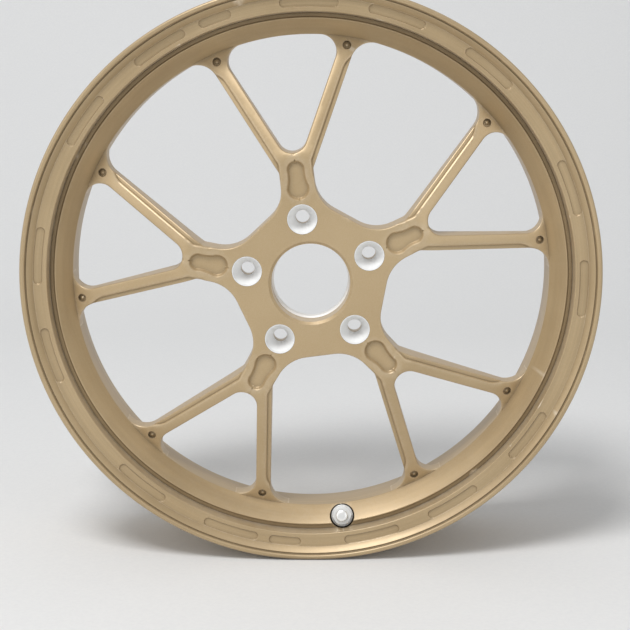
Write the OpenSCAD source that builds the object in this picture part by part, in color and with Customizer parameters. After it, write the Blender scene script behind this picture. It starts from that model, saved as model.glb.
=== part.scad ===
// Forged racing wheel rim: five forked arms, a hub with five conical lug seats,
// a drop-centre rim and a clamp-in tyre valve.
//
// Drawn flat: x to the right, y up, z outboard along the wheel axis, z = 0 midway between
// the two flanges. The last step stands the wheel up, so outboard faces -Y and up is +Z.

/* [Rim] */
// diameter of the bead seats, 19 in nominal
seat_d = 482.6; // [400:0.1:590]
// width between the two flanges, 4.5 in nominal
rim_w = 114.3; // [90:0.1:200]
// height of a flange above the bead seat
flange_h = 17.5; // [14:0.1:21]
// radius of the curl on the tyre side of each flange
curl_r = 9.5; // [7:0.1:12]
// fillet between bead seat and flange
root_r = 6.5; // [3:0.1:8]
// thickness of the rear flange
flange_t = 5.5; // [4:0.1:8]
// depth of the drop centre below the bead seat diameter
well_depth = 19.3; // [16:0.1:26]
// length of the drop centre with its front fillet
well_l = 20.3; // [14:0.1:30]
// wall of the forging under the drop centre
well_wall = 5.8; // [4:0.1:9]
// wall of the rear barrel under the bead seat
barrel_wall = 5; // [4:0.1:8]
// length of each tapered bead seat
seat_l = 21.2; // [18:0.1:26]
// height of the safety hump that keeps the bead on its seat
hump_h = 1; // [0.5:0.1:2]

/* [Front lip and dish] */
// width of the rounded front lip
lip_w = 4.6; // [3:0.1:7]
// width of the flat machined band inside the lip slope
band_w = 12.3; // [9:0.1:16]
// how far the band lies behind the front edge of the lip
band_drop = 6.6; // [4:0.1:9]
// depth of the groove between the band and the dish
groove_depth = 13; // [8:0.1:15]
// width of that groove
groove_w = 4.2; // [3:0.1:6]
// axial depth of the dish cone from its crest to the windows
dish_depth = 16.4; // [12:0.1:22]
// depth of the shallow pockets milled in the band
pocket_depth = 1.2; // [0.6:0.1:2]

/* [Hub] */
// mounting face ahead of the middle of the rim (positive offset)
wheel_offset = 45; // [20:0.5:60]
// thickness of the hub between mounting face and front face
hub_t = 32.65; // [26:0.05:40]
// diameter of the circle the five studs stand on
bolt_circle = 114.3; // [110:0.1:120]
// diameter of each stud hole
stud_hole_d = 12.6; // [12.2:0.1:14]
// diameter of the vehicle spigot that the centring ring takes
spigot_d = 67.1; // [60:0.1:70]
// bore of the hub in front of the centring ring
front_bore_d = 70; // [68:0.1:72]
// diameter of the recess that holds the centring ring
ring_recess_d = 73.1; // [72.5:0.1:76]
// length of the centring ring
ring_l = 12; // [8:0.5:16]
// outer diameter of the lug seat inserts
lug_seat_d = 26.4; // [25:0.1:28]
// length of the lug seat inserts
lug_seat_l = 22; // [20:0.5:26]
// distance from the centre to the flat scallops between the arms
scallop = 66; // [60:0.5:70]

/* [Spokes] */
// angle of each spoke to the middle of its arm
spoke_a = 26.8; // [20:0.1:30]
// width of a spoke, with its ledge
spoke_w = 13.2; // [10:0.1:16]
// width of the lowered ledge along the outer side
ledge_w = 3.4; // [2:0.1:5]
// how far the ledge lies behind the raised face
ledge_step = 2.5; // [1:0.1:4]
// half the width of an arm before it forks
arm_half = 15; // [12:0.1:17]
// distance from the centre to the sharp point of the fork
crotch_y = 99.2; // [94:0.1:104]
// fillet in the fork
crotch_r = 13.2; // [8:0.1:16]
// fillet at the rim in the small windows
small_r = 15; // [8:0.5:18]
// fillet at the rim in the large windows
large_r = 19; // [8:0.5:20]
// depth of the bean-shaped pocket in each arm
bean_depth = 3.2; // [1:0.1:5]

/* [Valve] */
// tilt of the valve towards the wheel axis
valve_a = 18; // [10:1:30]
// across flats of the clamping nut
nut_af = 16.2; // [14:0.1:18]
// outer diameter of the stem
stem_d = 8.2; // [7.7:0.1:8.4]
// diameter of the cap
cap_d = 10.8; // [9.6:0.1:12]

/* [Stance] */
// turn of the wheel as it stands, anticlockwise seen from the front
star_turn = 7.35; // [0:0.05:72]

/* [Hidden] */
arms = 5;
pitch_a = 360 / arms;
half_pitch = pitch_a / 2;
arc_step = 9;
gap_press = 0.02;
gap_run = 0.08;
far = 400;
over = 2;

// rim, radii from the bead seat and depths from the two flanges
seat_r = seat_d / 2;
flange_r = seat_r + flange_h;
half_w = rim_w / 2;
root = min(root_r, flange_h - curl_r - 0.5);
lip_z = half_w + curl_r;
lip_rise = 4.3;
lip_front = lip_z + lip_rise;
lip_round = lip_w / 2 - 0.05;
rear_rise = 4.95;
rear_z = -lip_z - rear_rise;
rear_cove = 9;
rear_round = 2.5;
seat_taper = 5;
seat_in_r = seat_r - (seat_l - root) * tan(seat_taper);
seat_in_z = half_w - seat_l;
hump_w = 4.6;
hump_edge = 1.4;
hump_round = 0.6;
ramp_round = 3;
barrel_round = 5;
well_r = seat_r - well_depth;
window_r = well_r - well_wall;
barrel_r = seat_in_r - barrel_wall;
shoulder_z = seat_in_z - hump_w;
well_front_z = shoulder_z - (seat_in_r - well_r) * tan(valve_a);
well_rear_z = well_front_z - well_l;
barrel_l = 15.3;
ramp_end_z = -shoulder_z + barrel_l;

// the ramp's inner face lies one wall behind its outer face
ramp_run = [seat_in_r - well_r, ramp_end_z - well_rear_z];
ramp_dir = ramp_run / norm(ramp_run);
ramp_in = [well_r, well_rear_z] + well_wall * [ramp_dir.y, -ramp_dir.x];
function ramp_in_z(r) = ramp_in.y + (r - ramp_in.x) * ramp_dir.y / ramp_dir.x;

// front face, from the lip inwards
band_z = lip_front - band_drop;
lip_draft = 0.3;
valley_drop = 3.3;
valley_w = 1.3;
slope_w = 4.8;
valley_r = flange_r - lip_w - lip_draft;
slope_top_r = valley_r - valley_w;
slope_top_z = lip_front - 2.1;
slope_foot_r = slope_top_r - slope_w;
band_in_r = slope_foot_r - band_w;
groove_draft = 0.8;
groove_z = band_z - groove_depth;
crest_w = 1;
crest_r = band_in_r - groove_w - crest_w;
crest_z = groove_z + 2;
dish_z = crest_z - dish_depth;
function dish_at(r) = dish_z + (r - window_r) * dish_depth / (crest_r - window_r);

// spider: front and back surfaces
hub_face = wheel_offset + hub_t;
hub_flat_r = 110;
foot_sink = 1.4;
foot_r = window_r + foot_sink;
pad_r = 76;
spoke_back_z = 44;
foot_t = 18.4;
back_rim_z = dish_z - foot_t;
function front_at(r) = hub_face + (r - hub_flat_r) * (dish_z - hub_face) / (window_r - hub_flat_r);

// zones of the forging: straight spoke between these two distances along a spoke
zone_in = crotch_y * cos(spoke_a) + crotch_r / tan(spoke_a) + 3.4;
foot_l = 38.2;
zone_out = window_r - foot_l;
face_split = half_w - root;
ramp_split = well_rear_z - 1.2;
barrel_split = ramp_end_z - 1;

// lines along a spoke, as their crossing of the arm's middle
outer_y = crotch_y - spoke_w / sin(spoke_a);
ledge_y = crotch_y - (spoke_w - ledge_w) / sin(spoke_a);
function on_line(y0, t) = [t * sin(spoke_a), y0 + t * cos(spoke_a)];
function line_to_r(y0, r) = sqrt(r * r - pow(y0 * sin(spoke_a), 2)) - y0 * cos(spoke_a);
small_corner = on_line(crotch_y, line_to_r(crotch_y, window_r));
large_corner = on_line(outer_y, line_to_r(outer_y, window_r));
arm_corner = [arm_half, outer_y + arm_half / tan(spoke_a)];
scallop_corner = [arm_half, (scallop - arm_half * sin(half_pitch)) / cos(half_pitch)];
scallop_round = scallop / 2;
arm_round = 8;
ledge_fade = 21;

// bean-shaped pocket: it starts one wall past the lug seat and ends just past the fork's point
bean_wall = 3.45;
bean_big_r = 10.2;
bean_small_r = 8.2;
bean_big_y = bolt_circle / 2 + lug_seat_d / 2 + bean_wall + bean_big_r;
bean_small_y = crotch_y + 1.8;
bean_waist = 8;
bean_flank_r = 30;

// lug seats
lug_mouth_wall = 0.6;
lug_straight = 5;
lug_cone_a = 30;
bore_chamfer = 2.4;

// dimples in the feet of the spokes, each this far from the rim and from the spoke's inner side
dimple_from_rim = 7.1;
dimple_from_side = 5.95;
dimple_r = window_r - dimple_from_rim;
dimple_y = crotch_y - dimple_from_side / sin(spoke_a);
dimple_at = on_line(dimple_y, line_to_r(dimple_y, dimple_r));
dimple_a = atan2(dimple_at.x, dimple_at.y);
dimple_d = 7.8;
dimple_depth = 3.2;

// shallow pockets round the band, clockwise from the first arm, mirrored across it
pocket_angles = [25.3, 47, 77.4, 99, 133.2, 155];
pocket_singles = [7, 174];
pocket_shorts = [193, 347.5];
pocket_span = 10.2;
pocket_short_span = 5;
pocket_w = 8.4;
pocket_r = slope_foot_r - 4.35;

// valve seat: the washer pocket just clears the dish at its edge next to the window
valve_pocket_r = 11.4;
washer_r = 11;
pocket_edge = 0.45;
valve_r = window_r + valve_pocket_r * cos(valve_a) + pocket_edge;
valve_z = dish_at(window_r + pocket_edge) + valve_pocket_r * sin(valve_a);
valve_hole_r = 5.75;
shoulder_at_valve = shoulder_z - (seat_in_r - valve_r) * tan(valve_a);
grip = (valve_z - shoulder_at_valve) * cos(valve_a);
washer_t = 1.6;
plate_t = 1.2;
plate_lip = 2;
plate_r = nut_af / 2 + plate_lip;
nut_h = 5.5;
nut_base = washer_t + plate_t;
seal_r = 7.5;
seal_t = 3;
head_t = 2.5;
head_r = seal_r - 0.4;
stem_r = stem_d / 2;
tip_r = stem_r - 0.25;
tip_base = nut_base + nut_h + 1.7;
tip_l = 7.5;
stem_top = tip_base + tip_l;
stem_edge = 0.5;
cap_base = tip_base + 0.3;
liner_t = 0.8;
cap_wall = 1.4;
cap_top = stem_top + liner_t + cap_wall;
cap_r = cap_d / 2;
cap_dome = 2;
core_bore_r = 2.5;
air_bore_r = 2;
plug_top = stem_top - 0.5;
plug_l = 4.5;
plug_seal_l = 1.6;
barrel_r_out = 1.8;
core_l = 14;
barrel_end = plug_top - core_l;
barrel_r_in = 1.2;
pin_r = 0.5;
pin_top = plug_top - 0.3;
collar_z = plug_top - 5.5;
collar_t = 0.6;
spring_foot = barrel_end + 1;
spring_turns = 5;
spring_wire = 0.16;
cup_t = 1.4;

paint = [0.62, 0.51, 0.36];
bare = [0.82, 0.82, 0.80];
steel = [0.75, 0.75, 0.76];
brass = [0.78, 0.65, 0.35];
rubber = [0.07, 0.07, 0.07];

SPOKES = [for (i = [1:2 * arms]) str("spoke_", i)];
SEATS = [for (i = [1:arms]) str("lug_seat_", i)];

// a corner at b between a and c, rounded to radius r
function corner(a, b, c, r) =
  r == 0 ? [b] :
  let (u = (a - b) / norm(a - b),
       v = (c - b) / norm(c - b),
       half = acos(u * v) / 2,
       o = b + (u + v) / norm(u + v) * r / sin(half),
       p = b + u * r / tan(half) - o,
       q = b + v * r / tan(half) - o,
       a0 = atan2(p.y, p.x),
       sweep = ((atan2(q.y, q.x) - a0 + 540) % 360) - 180,
       n = ceil(abs(sweep) / arc_step))
  [for (i = [0:n]) o + r * [cos(a0 + sweep * i / n), sin(a0 + sweep * i / n)]];

// an outline of [x, y, radius] corners
function rounded(p) =
  let (n = len(p), xy = [for (q = p) [q.x, q.y]])
  [for (i = [0:n - 1]) each corner(xy[(i + n - 1) % n], xy[i], xy[(i + 1) % n], p[i].z)];

// a point at radius r and angle a clockwise from the arm
function polar(r, a) = [r * sin(a), r * cos(a)];
function polar0(r, a) = concat(polar(r, a), 0);
function mirror_in(p, a) = let (d = polar(1, a)) 2 * (p * d) * d - p;

module upright() rotate([90, 0, 0]) rotate([0, 0, star_turn]) children();
module at_arm(i) rotate([0, 0, -pitch_a * i]) children();
module ring_of(z0, z1) rotate_extrude($fn = 180) intersection() {
  polygon(rim_profile());
  translate([0, z0]) square([far, z1 - z0]);
}
module slab(z0, z1) translate([0, 0, z0]) linear_extrude(z1 - z0) children();

// ---------------------------------------------------------------- rim
function rim_profile() = rounded([
  // rounded lip, slope, band and groove
  [flange_r, lip_front, lip_round], [flange_r - lip_w, lip_front, lip_round],
  [valley_r, lip_front - valley_drop, 0.3], [slope_top_r, slope_top_z, 0.4],
  [slope_foot_r, band_z, 0], [band_in_r, band_z, 1], [band_in_r - groove_draft, groove_z, 1.4],
  // dish
  [crest_r + crest_w, groove_z, 0.8], [crest_r, crest_z, 0.9], [window_r, dish_z, 0],
  // inside of the barrel and the rear flange
  [window_r, ramp_in_z(window_r), barrel_round], [barrel_r, ramp_in_z(barrel_r), barrel_round],
  [barrel_r, rear_z + rear_cove, rear_cove], [flange_r - flange_t, rear_z + rear_cove, rear_round + 1],
  [flange_r - flange_t, rear_z, rear_round], [flange_r, rear_z, rear_round + 0.2],
  [flange_r, -half_w, curl_r],
  // rear bead seat with its hump
  [seat_r, -half_w, root], [seat_in_r, -seat_in_z, 0],
  [seat_in_r + hump_h, -seat_in_z + hump_edge, hump_round],
  [seat_in_r + hump_h, -seat_in_z + hump_w - hump_edge, hump_round],
  [seat_in_r, -seat_in_z + hump_w, 0],
  // ramp and drop centre
  [seat_in_r, ramp_end_z, ramp_round], [well_r, well_rear_z, ramp_round],
  [well_r, well_front_z, ramp_round / 2],
  // front bead seat with its hump
  [seat_in_r, shoulder_z, 0], [seat_in_r + hump_h, shoulder_z + hump_edge, hump_round],
  [seat_in_r + hump_h, seat_in_z - hump_edge, hump_round],
  [seat_in_r, seat_in_z, 0], [seat_r, half_w, root], [flange_r, half_w, curl_r]]);

// a pocket milled in the band: an arc-shaped slot with round ends
module band_pocket(a, span) {
  translate([0, 0, band_z - pocket_depth]) rotate([0, 0, 90 - a]) {
    rotate([0, 0, -span / 2]) rotate_extrude(angle = span, $fn = 180)
      translate([pocket_r - pocket_w / 2, 0]) square([pocket_w, far]);
    for (s = [-1, 1]) rotate([0, 0, s * span / 2]) translate([pocket_r, 0, 0])
      cylinder(h = far, d = pocket_w, $fn = 32);
  }
}

module band_pockets() {
  for (a = pocket_angles, s = [-1, 1]) band_pocket(s * a, pocket_span);
  for (a = pocket_singles) band_pocket(a, pocket_span);
  for (a = pocket_shorts) band_pocket(a, pocket_short_span);
}

module rim_front_flange() color(paint) upright() difference() {
  ring_of(face_split, far);
  band_pockets();
  at_valve() slab(0, far) circle(valve_pocket_r, $fn = 64);
}

// dish, bead seat and the feet of the ten spokes
module rim_face() color(paint) upright() difference() {
  union() {
    ring_of(back_rim_z, face_split);
    spider() feet_outline();
  }
  for (i = [0:arms - 1], s = [-1, 1]) at_arm(i) rotate([0, 0, -s * dimple_a])
    translate([0, dimple_r, front_at(dimple_r) - dimple_depth]) cylinder(h = far, d = dimple_d, $fn = 32);
  at_valve() {
    slab(0, far) circle(valve_pocket_r, $fn = 64);
    slab(-grip - 1, 1) circle(valve_hole_r, $fn = 48);
  }
}

module rim_well() color(paint) upright() ring_of(ramp_split, back_rim_z);
module rim_ramp() color(paint) upright() ring_of(barrel_split, ramp_split);
module rim_rear_seat() color(paint) upright() ring_of(-face_split, barrel_split);
module rim_rear_flange() color(paint) upright() ring_of(-far, -face_split);

// ---------------------------------------------------------------- spider
// where the fillet of corner c, of radius r, has surely ended along the rim; side is +1 or -1
function fillet_end(c, r, side) = atan2(c.x, c.y) + side * 1.35 * r / window_r * 180 / PI;

// the opening between the two spokes of one arm
module small_window() {
  a = fillet_end(small_corner, small_r, -1);
  polygon(rounded(concat(
    [[0, crotch_y, crotch_r], concat(small_corner, small_r), polar0(window_r, a)],
    [for (i = [0:2]) polar0(foot_r + over, a - a * i)],
    [polar0(window_r, -a), [-small_corner.x, small_corner.y, small_r]])));
}

// the opening between two arms, with the flat scallop of the hub
module large_window() {
  a = fillet_end(large_corner, large_r, 1);
  a_end = pitch_a - a;
  far_side = [for (p = [large_corner, arm_corner, scallop_corner]) mirror_in(p, half_pitch)];
  polygon(rounded(concat(
    [concat(scallop_corner, scallop_round), concat(arm_corner, arm_round), concat(large_corner, large_r)],
    [polar0(window_r, a)],
    [for (i = [0:3]) polar0(foot_r + over, a + (a_end - a) * i / 3)],
    [polar0(window_r, a_end)],
    [concat(far_side[0], large_r), concat(far_side[1], arm_round), concat(far_side[2], scallop_round)])));
}

module windows() for (i = [0:arms - 1]) at_arm(i) {
  small_window();
  large_window();
}

// ten-sided zone whose sides cross the spokes at right angles, distance s from the centre
module zone(s) intersection_for(i = [0:arms - 1]) at_arm(i) intersection_for(m = [-1, 1])
  rotate([0, 0, m * spoke_a]) translate([-far, s - 2 * far]) square(2 * far);

module feet_outline() difference() {
  circle(foot_r, $fn = 180);
  zone(zone_out);
  windows();
}

module hub_outline() difference() {
  zone(zone_in);
  windows();
}

// strip beside a spoke where its face drops to the ledge
module ledge_strip() {
  turn_out = 38;
  out = 10;
  half_way = 90;
  along = [sin(spoke_a), cos(spoke_a)];
  across = [cos(spoke_a), -sin(spoke_a)];
  start = on_line(ledge_y, arm_half / sin(spoke_a));
  stop = on_line(ledge_y, line_to_r(ledge_y, window_r) - ledge_fade);
  away = [sin(spoke_a + turn_out), cos(spoke_a + turn_out)];
  polygon(rounded([
    concat(start, 5), concat(stop, 20), concat(stop + out * away, 0),
    concat(on_line(outer_y, half_way) + 2 * out * across, 0),
    [arm_half + 2 * out, arm_corner.y - 3 * out, 0], [arm_half, arm_corner.y - 3 * out, 0]]));
}

module ledge_strips() for (i = [0:arms - 1], m = [0, 1]) at_arm(i) mirror([m, 0, 0]) ledge_strip();

// body of revolution between the back of the spider and its face, lowered by drop
module spider_body(drop) rotate_extrude($fn = 180)
  polygon([
    [0, wheel_offset], [pad_r, wheel_offset], [hub_flat_r, spoke_back_z], [window_r, back_rim_z],
    [foot_r, back_rim_z], [foot_r, dish_z - drop], [window_r, dish_z - drop],
    [hub_flat_r, hub_face - drop], [0, hub_face - drop]]);

// a flat outline raised between the back of the spider and its face, with the ledges lowered
module spider() {
  intersection() {
    spider_body(ledge_step);
    slab(0, far) children();
  }
  intersection() {
    spider_body(0);
    slab(0, far) difference() {
      children();
      ledge_strips();
    }
  }
}

// bean-shaped pocket: a large round end, a waist and a small round end
module bean_outline() {
  big_a = 18.9;
  small_a = -5.6;
  low = [bean_big_r * cos(big_a), bean_big_y + bean_big_r * sin(big_a)];
  high = [bean_small_r * cos(small_a), bean_small_y + bean_small_r * sin(small_a)];
  waist_y = bean_small_y - 3.9;
  difference() {
    union() {
      translate([0, bean_big_y]) circle(bean_big_r, $fn = 48);
      translate([0, bean_small_y]) circle(bean_small_r, $fn = 48);
      polygon([[-low.x, low.y], low, high, [-high.x, high.y]]);
    }
    for (s = [-1, 1]) translate([s * (bean_waist + bean_flank_r), waist_y]) circle(bean_flank_r, $fn = 96);
  }
}

module hub() color(paint) upright() difference() {
  spider() hub_outline();
  slab(0, far) circle(d = front_bore_d, $fn = 96);
  translate([0, 0, hub_face - bore_chamfer])
    cylinder(h = 2 * bore_chamfer, r1 = front_bore_d / 2, r2 = front_bore_d / 2 + 2 * bore_chamfer, $fn = 96);
  slab(0, wheel_offset + ring_l) circle(ring_recess_d / 2 + gap_press, $fn = 96);
  for (i = [0:arms - 1]) at_arm(i) {
    translate([0, bolt_circle / 2, 0]) {
      slab(0, far) circle(d = stud_hole_d, $fn = 48);
      slab(hub_face - lug_seat_l, far) circle(lug_seat_d / 2 + gap_press, $fn = 64);
    }
    slab(hub_face - bean_depth, far) bean_outline();
  }
}

// the straight stretch of a spoke
module spoke(i) {
  side = i % 2;
  arm = (i - side) / 2;
  at = -crotch_y * sin(spoke_a);
  color(paint) upright() at_arm(arm) mirror([side, 0, 0]) rotate([0, 0, -spoke_a]) {
    intersection() {
      spider_body(ledge_step);
      slab(0, far) translate([at, zone_in]) square([spoke_w, zone_out - zone_in]);
    }
    intersection() {
      spider_body(0);
      slab(0, far) translate([at, zone_in]) square([spoke_w - ledge_w, zone_out - zone_in]);
    }
  }
}

// ---------------------------------------------------------------- hub fittings
module lug_seat(i) color(bare) upright() at_arm(i) translate([0, bolt_circle / 2, hub_face]) {
  mouth = lug_seat_d / 2 - lug_mouth_wall;
  hole = stud_hole_d / 2;
  cone = (mouth - hole) / tan(lug_cone_a);
  rotate_extrude($fn = 64) polygon([
    [mouth, 0], [lug_seat_d / 2, 0], [lug_seat_d / 2, -lug_seat_l], [hole, -lug_seat_l],
    [hole, -lug_straight - cone], [mouth, -lug_straight]]);
}

module centring_ring() color(bare) upright() slab(wheel_offset, wheel_offset + ring_l) difference() {
  circle(d = ring_recess_d, $fn = 96);
  circle(d = spigot_d, $fn = 96);
}

// ---------------------------------------------------------------- valve
module at_valve() translate([0, -valve_r, valve_z]) rotate([-valve_a, 0, 0]) children();
module tube(z0, z1, r_out, r_in, n = 48) slab(z0, z1) difference() {
  circle(r_out, $fn = n);
  circle(r_in, $fn = n);
}

module valve_stem() color(steel) upright() at_valve() rotate_extrude($fn = 48) polygon([
  [air_bore_r, -grip - seal_t - head_t], [head_r, -grip - seal_t - head_t],
  [head_r, -grip - seal_t], [stem_r, -grip - seal_t], [stem_r, tip_base],
  [tip_r, cap_base], [tip_r, stem_top - stem_edge], [tip_r - stem_edge, stem_top],
  [core_bore_r, stem_top], [core_bore_r, plug_top - plug_l - plug_seal_l],
  [air_bore_r, plug_top - plug_l - plug_seal_l - 0.6]]);

module valve_inner_seal() color(rubber) upright() at_valve() rotate_extrude($fn = 48) polygon([
  [stem_r, -grip - seal_t], [seal_r, -grip - seal_t], [seal_r, -grip],
  [valve_hole_r, -grip], [valve_hole_r - 0.2, -2], [stem_r, -2]]);

module valve_rubber_washer() color(rubber) upright() at_valve() tube(0, washer_t, washer_r, stem_r);
module valve_plate_washer() color(steel) upright() at_valve() tube(washer_t, nut_base, plate_r, stem_r);

module valve_nut() color(steel) upright() at_valve() difference() {
  intersection() {
    slab(nut_base, nut_base + nut_h) circle(nut_af / sqrt(3), $fn = 6);
    translate([0, 0, nut_base]) cylinder(h = nut_h, r1 = nut_af / 2 + nut_h, r2 = nut_af / 2 + 0.3, $fn = 64);
  }
  slab(0, nut_base + nut_h + 1) circle(stem_r, $fn = 48);
}

module valve_cap() color(steel) upright() at_valve() rotate_extrude($fn = 48) polygon([
  [tip_r + gap_run, cap_base], [cap_r - stem_edge / 2, cap_base], [cap_r, cap_base + stem_edge],
  [cap_r, cap_top - cap_dome], [cap_r - cap_dome / 4, cap_top - cap_dome / 2],
  [cap_r - cap_dome * 0.8, cap_top - cap_dome / 10], [0, cap_top],
  [0, stem_top + liner_t], [tip_r + gap_run, stem_top + liner_t]]);

module valve_cap_liner() color(rubber) upright() at_valve()
  tube(stem_top, stem_top + liner_t, tip_r - 0.1, core_bore_r);

// the core screws into the stem: a threaded plug drawn out into a thin barrel
module core_barrel() color(brass) upright() at_valve() rotate_extrude($fn = 32) polygon([
  [pin_r + gap_run, plug_top], [core_bore_r, plug_top], [core_bore_r, plug_top - plug_l],
  [barrel_r_out, plug_top - plug_l], [barrel_r_out, barrel_end], [pin_r + gap_run, barrel_end],
  [pin_r + gap_run, spring_foot], [barrel_r_in, spring_foot], [barrel_r_in, plug_top - plug_l],
  [pin_r + gap_run, plug_top - plug_l]]);

module core_barrel_seal() color(rubber) upright() at_valve()
  tube(plug_top - plug_l - plug_seal_l, plug_top - plug_l, core_bore_r, barrel_r_out);

module core_pin() color(brass) upright() at_valve() {
  slab(barrel_end - cup_t, pin_top) circle(pin_r, $fn = 24);
  slab(collar_z, collar_z + collar_t) circle(barrel_r_in - gap_run, $fn = 24);
}

module core_cup() color(rubber) upright() at_valve()
  tube(barrel_end - cup_t, barrel_end, barrel_r_out - 0.1, pin_r, 32);

// the spring pushes the pin's collar up and so holds the cup against the barrel's end
module core_spring() {
  sides = 6;
  per_turn = 14;
  rings = spring_turns * per_turn;
  mean_r = (pin_r + gap_run + barrel_r_in) / 2;
  h = collar_z - spring_foot - 2 * spring_wire;
  points = [
    for (i = [0:rings], j = [0:sides - 1])
      let (t = 360 * i / per_turn, s = 360 * j / sides, r = mean_r + spring_wire * cos(s))
      [r * cos(t), r * sin(t), h * i / rings + spring_wire * sin(s)]];
  walls = [
    for (i = [0:rings - 1], j = [0:sides - 1])
      let (k = (j + 1) % sides, a = i * sides, b = a + sides)
      each [[a + k, b + k, b + j], [a + k, b + j, a + j]]];
  ends = [[for (j = [sides - 1:-1:0]) j], [for (j = [0:sides - 1]) rings * sides + j]];
  color(steel) upright() at_valve() translate([0, 0, spring_foot + spring_wire])
    polyhedron(points, concat(walls, ends));
}

hub();
rim_face();
rim_front_flange();
rim_well();
rim_ramp();
rim_rear_seat();
rim_rear_flange();
for (i = [0:2 * arms - 1]) spoke(i);
for (i = [0:arms - 1]) lug_seat(i);
centring_ring();
valve_stem();
valve_inner_seal();
valve_rubber_washer();
valve_plate_washer();
valve_nut();
valve_cap();
valve_cap_liner();
core_barrel();
core_barrel_seal();
core_pin();
core_cup();
core_spring();
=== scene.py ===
# %% [markdown]
# # A forged racing wheel
#
# The wheel is one forging of aluminium: a hub, five arms that fork into ten slender spokes, and a
# rim that dishes back from a flat machined band. The hub carries five bare lug seats and a
# centring ring, and the rim carries a clamp-in tyre valve. This lesson builds its visible skin
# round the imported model, in the same frame: metres, the wheel's axis along Y, the front face
# looking along -Y. Lengths are named in millimetres, as on a workshop drawing, and are turned
# into metres in one place.

import bmesh
import bpy
import numpy as np
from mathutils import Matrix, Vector
from mathutils.geometry import delaunay_2d_cdt


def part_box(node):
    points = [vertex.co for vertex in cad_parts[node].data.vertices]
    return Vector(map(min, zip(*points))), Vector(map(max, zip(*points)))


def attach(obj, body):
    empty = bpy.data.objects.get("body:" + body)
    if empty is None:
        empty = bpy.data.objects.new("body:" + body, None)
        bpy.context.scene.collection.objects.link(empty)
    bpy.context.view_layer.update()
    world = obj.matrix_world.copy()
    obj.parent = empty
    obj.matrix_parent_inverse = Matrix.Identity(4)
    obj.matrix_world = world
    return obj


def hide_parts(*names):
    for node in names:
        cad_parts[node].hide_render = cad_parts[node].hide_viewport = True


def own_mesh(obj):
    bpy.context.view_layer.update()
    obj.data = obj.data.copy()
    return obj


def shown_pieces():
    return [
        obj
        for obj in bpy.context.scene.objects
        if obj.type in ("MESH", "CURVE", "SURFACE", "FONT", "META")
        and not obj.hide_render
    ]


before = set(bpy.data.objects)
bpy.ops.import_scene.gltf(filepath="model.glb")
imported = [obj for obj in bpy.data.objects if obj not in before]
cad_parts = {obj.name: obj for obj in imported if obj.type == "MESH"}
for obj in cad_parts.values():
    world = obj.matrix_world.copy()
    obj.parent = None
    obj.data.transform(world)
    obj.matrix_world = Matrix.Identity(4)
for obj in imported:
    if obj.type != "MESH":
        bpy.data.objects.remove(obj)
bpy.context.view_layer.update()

# %% [markdown]
# ## Sizes
#
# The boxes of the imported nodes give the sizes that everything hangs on: the flange's radius, the
# hub's face, where the studs stand and how far the star is turned. The rest are the drawing's own
# values: they follow the same rules as the engineering model, so both skins lie on each other.

# %% Driving sizes, from the frame
MM = 1000.0


def node_box(name):
    """The lowest and highest corner of a node, in millimetres."""
    low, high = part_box(name)
    return np.array(low) * MM, np.array(high) * MM


seat_low, seat_high = node_box("lug_seat_1")
seat_mid = (seat_low + seat_high) / 2
TURN = np.arctan2(-seat_mid[0], seat_mid[2])
LUG_R = np.hypot(seat_mid[0], seat_mid[2])
HUB_FACE = -seat_low[1]
RING_R = (node_box("centring_ring")[1][0] - node_box("centring_ring")[0][0]) / 2
OFFSET = -node_box("centring_ring")[1][1]
REAR_Z = -node_box("rim_rear_flange")[1][1]
print("star turned by", round(np.degrees(TURN), 2), "degrees")
print("lug circle", round(2 * LUG_R, 2), "hub face", round(HUB_FACE, 2), "offset", round(OFFSET, 2))

# %% Rim sizes
HALF_W = 57.15
SEAT_R = 241.3
SKIN = 0.03
FLANGE_R = SEAT_R + 17.5 - SKIN
CURL_R = 9.5
ROOT_R = 6.5
LIP_W = 4.6
LIP_ROUND = LIP_W / 2 - 0.05
LIP_FRONT = HALF_W + CURL_R + 4.3
BAND_Z = LIP_FRONT - 6.6
VALLEY_R = FLANGE_R - LIP_W - 0.3
SLOPE_TOP_R = VALLEY_R - 1.3
SLOPE_TOP_Z = LIP_FRONT - 2.1
SLOPE_FOOT_R = SLOPE_TOP_R - 4.8
BAND_IN_R = SLOPE_FOOT_R - 12.3
BAND_SINK = 2.2
GROOVE_Z = BAND_Z - 13
CREST_R = BAND_IN_R - 5.2
CREST_Z = GROOVE_Z + 2
WELL_R = SEAT_R - 19.3
RIM_WALL = 5.8
WINDOW_R = WELL_R - RIM_WALL
DISH_Z = CREST_Z - 16.4
BEAD_SEAT_L = 21.2
SEAT_IN_R = SEAT_R - (BEAD_SEAT_L - ROOT_R) * np.tan(np.radians(5))
SEAT_IN_Z = HALF_W - BEAD_SEAT_L
HUMP_W = 4.6
SHOULDER_Z = SEAT_IN_Z - HUMP_W
VALVE_TILT = np.radians(18)
WELL_FRONT = SHOULDER_Z - (SEAT_IN_R - WELL_R) * np.tan(VALVE_TILT)
WELL_REAR = WELL_FRONT - 20.3
RAMP_END = -SHOULDER_Z + 15.3
BARREL_R = SEAT_IN_R - 5.0
REAR_WALL = 9.0
REAR_LIP_W = 5.5
EDGE_R = 1.1

# %% [markdown]
# ## Working with arrays
#
# A turned part is a profile carried round an axis, so its skin is a grid: one axis of the grid
# runs round the wheel, the other along the profile. Everything that follows is computed as whole
# arrays. A drawing gives a profile as corners with a radius each, and `rounded` puts the arcs in.

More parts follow.
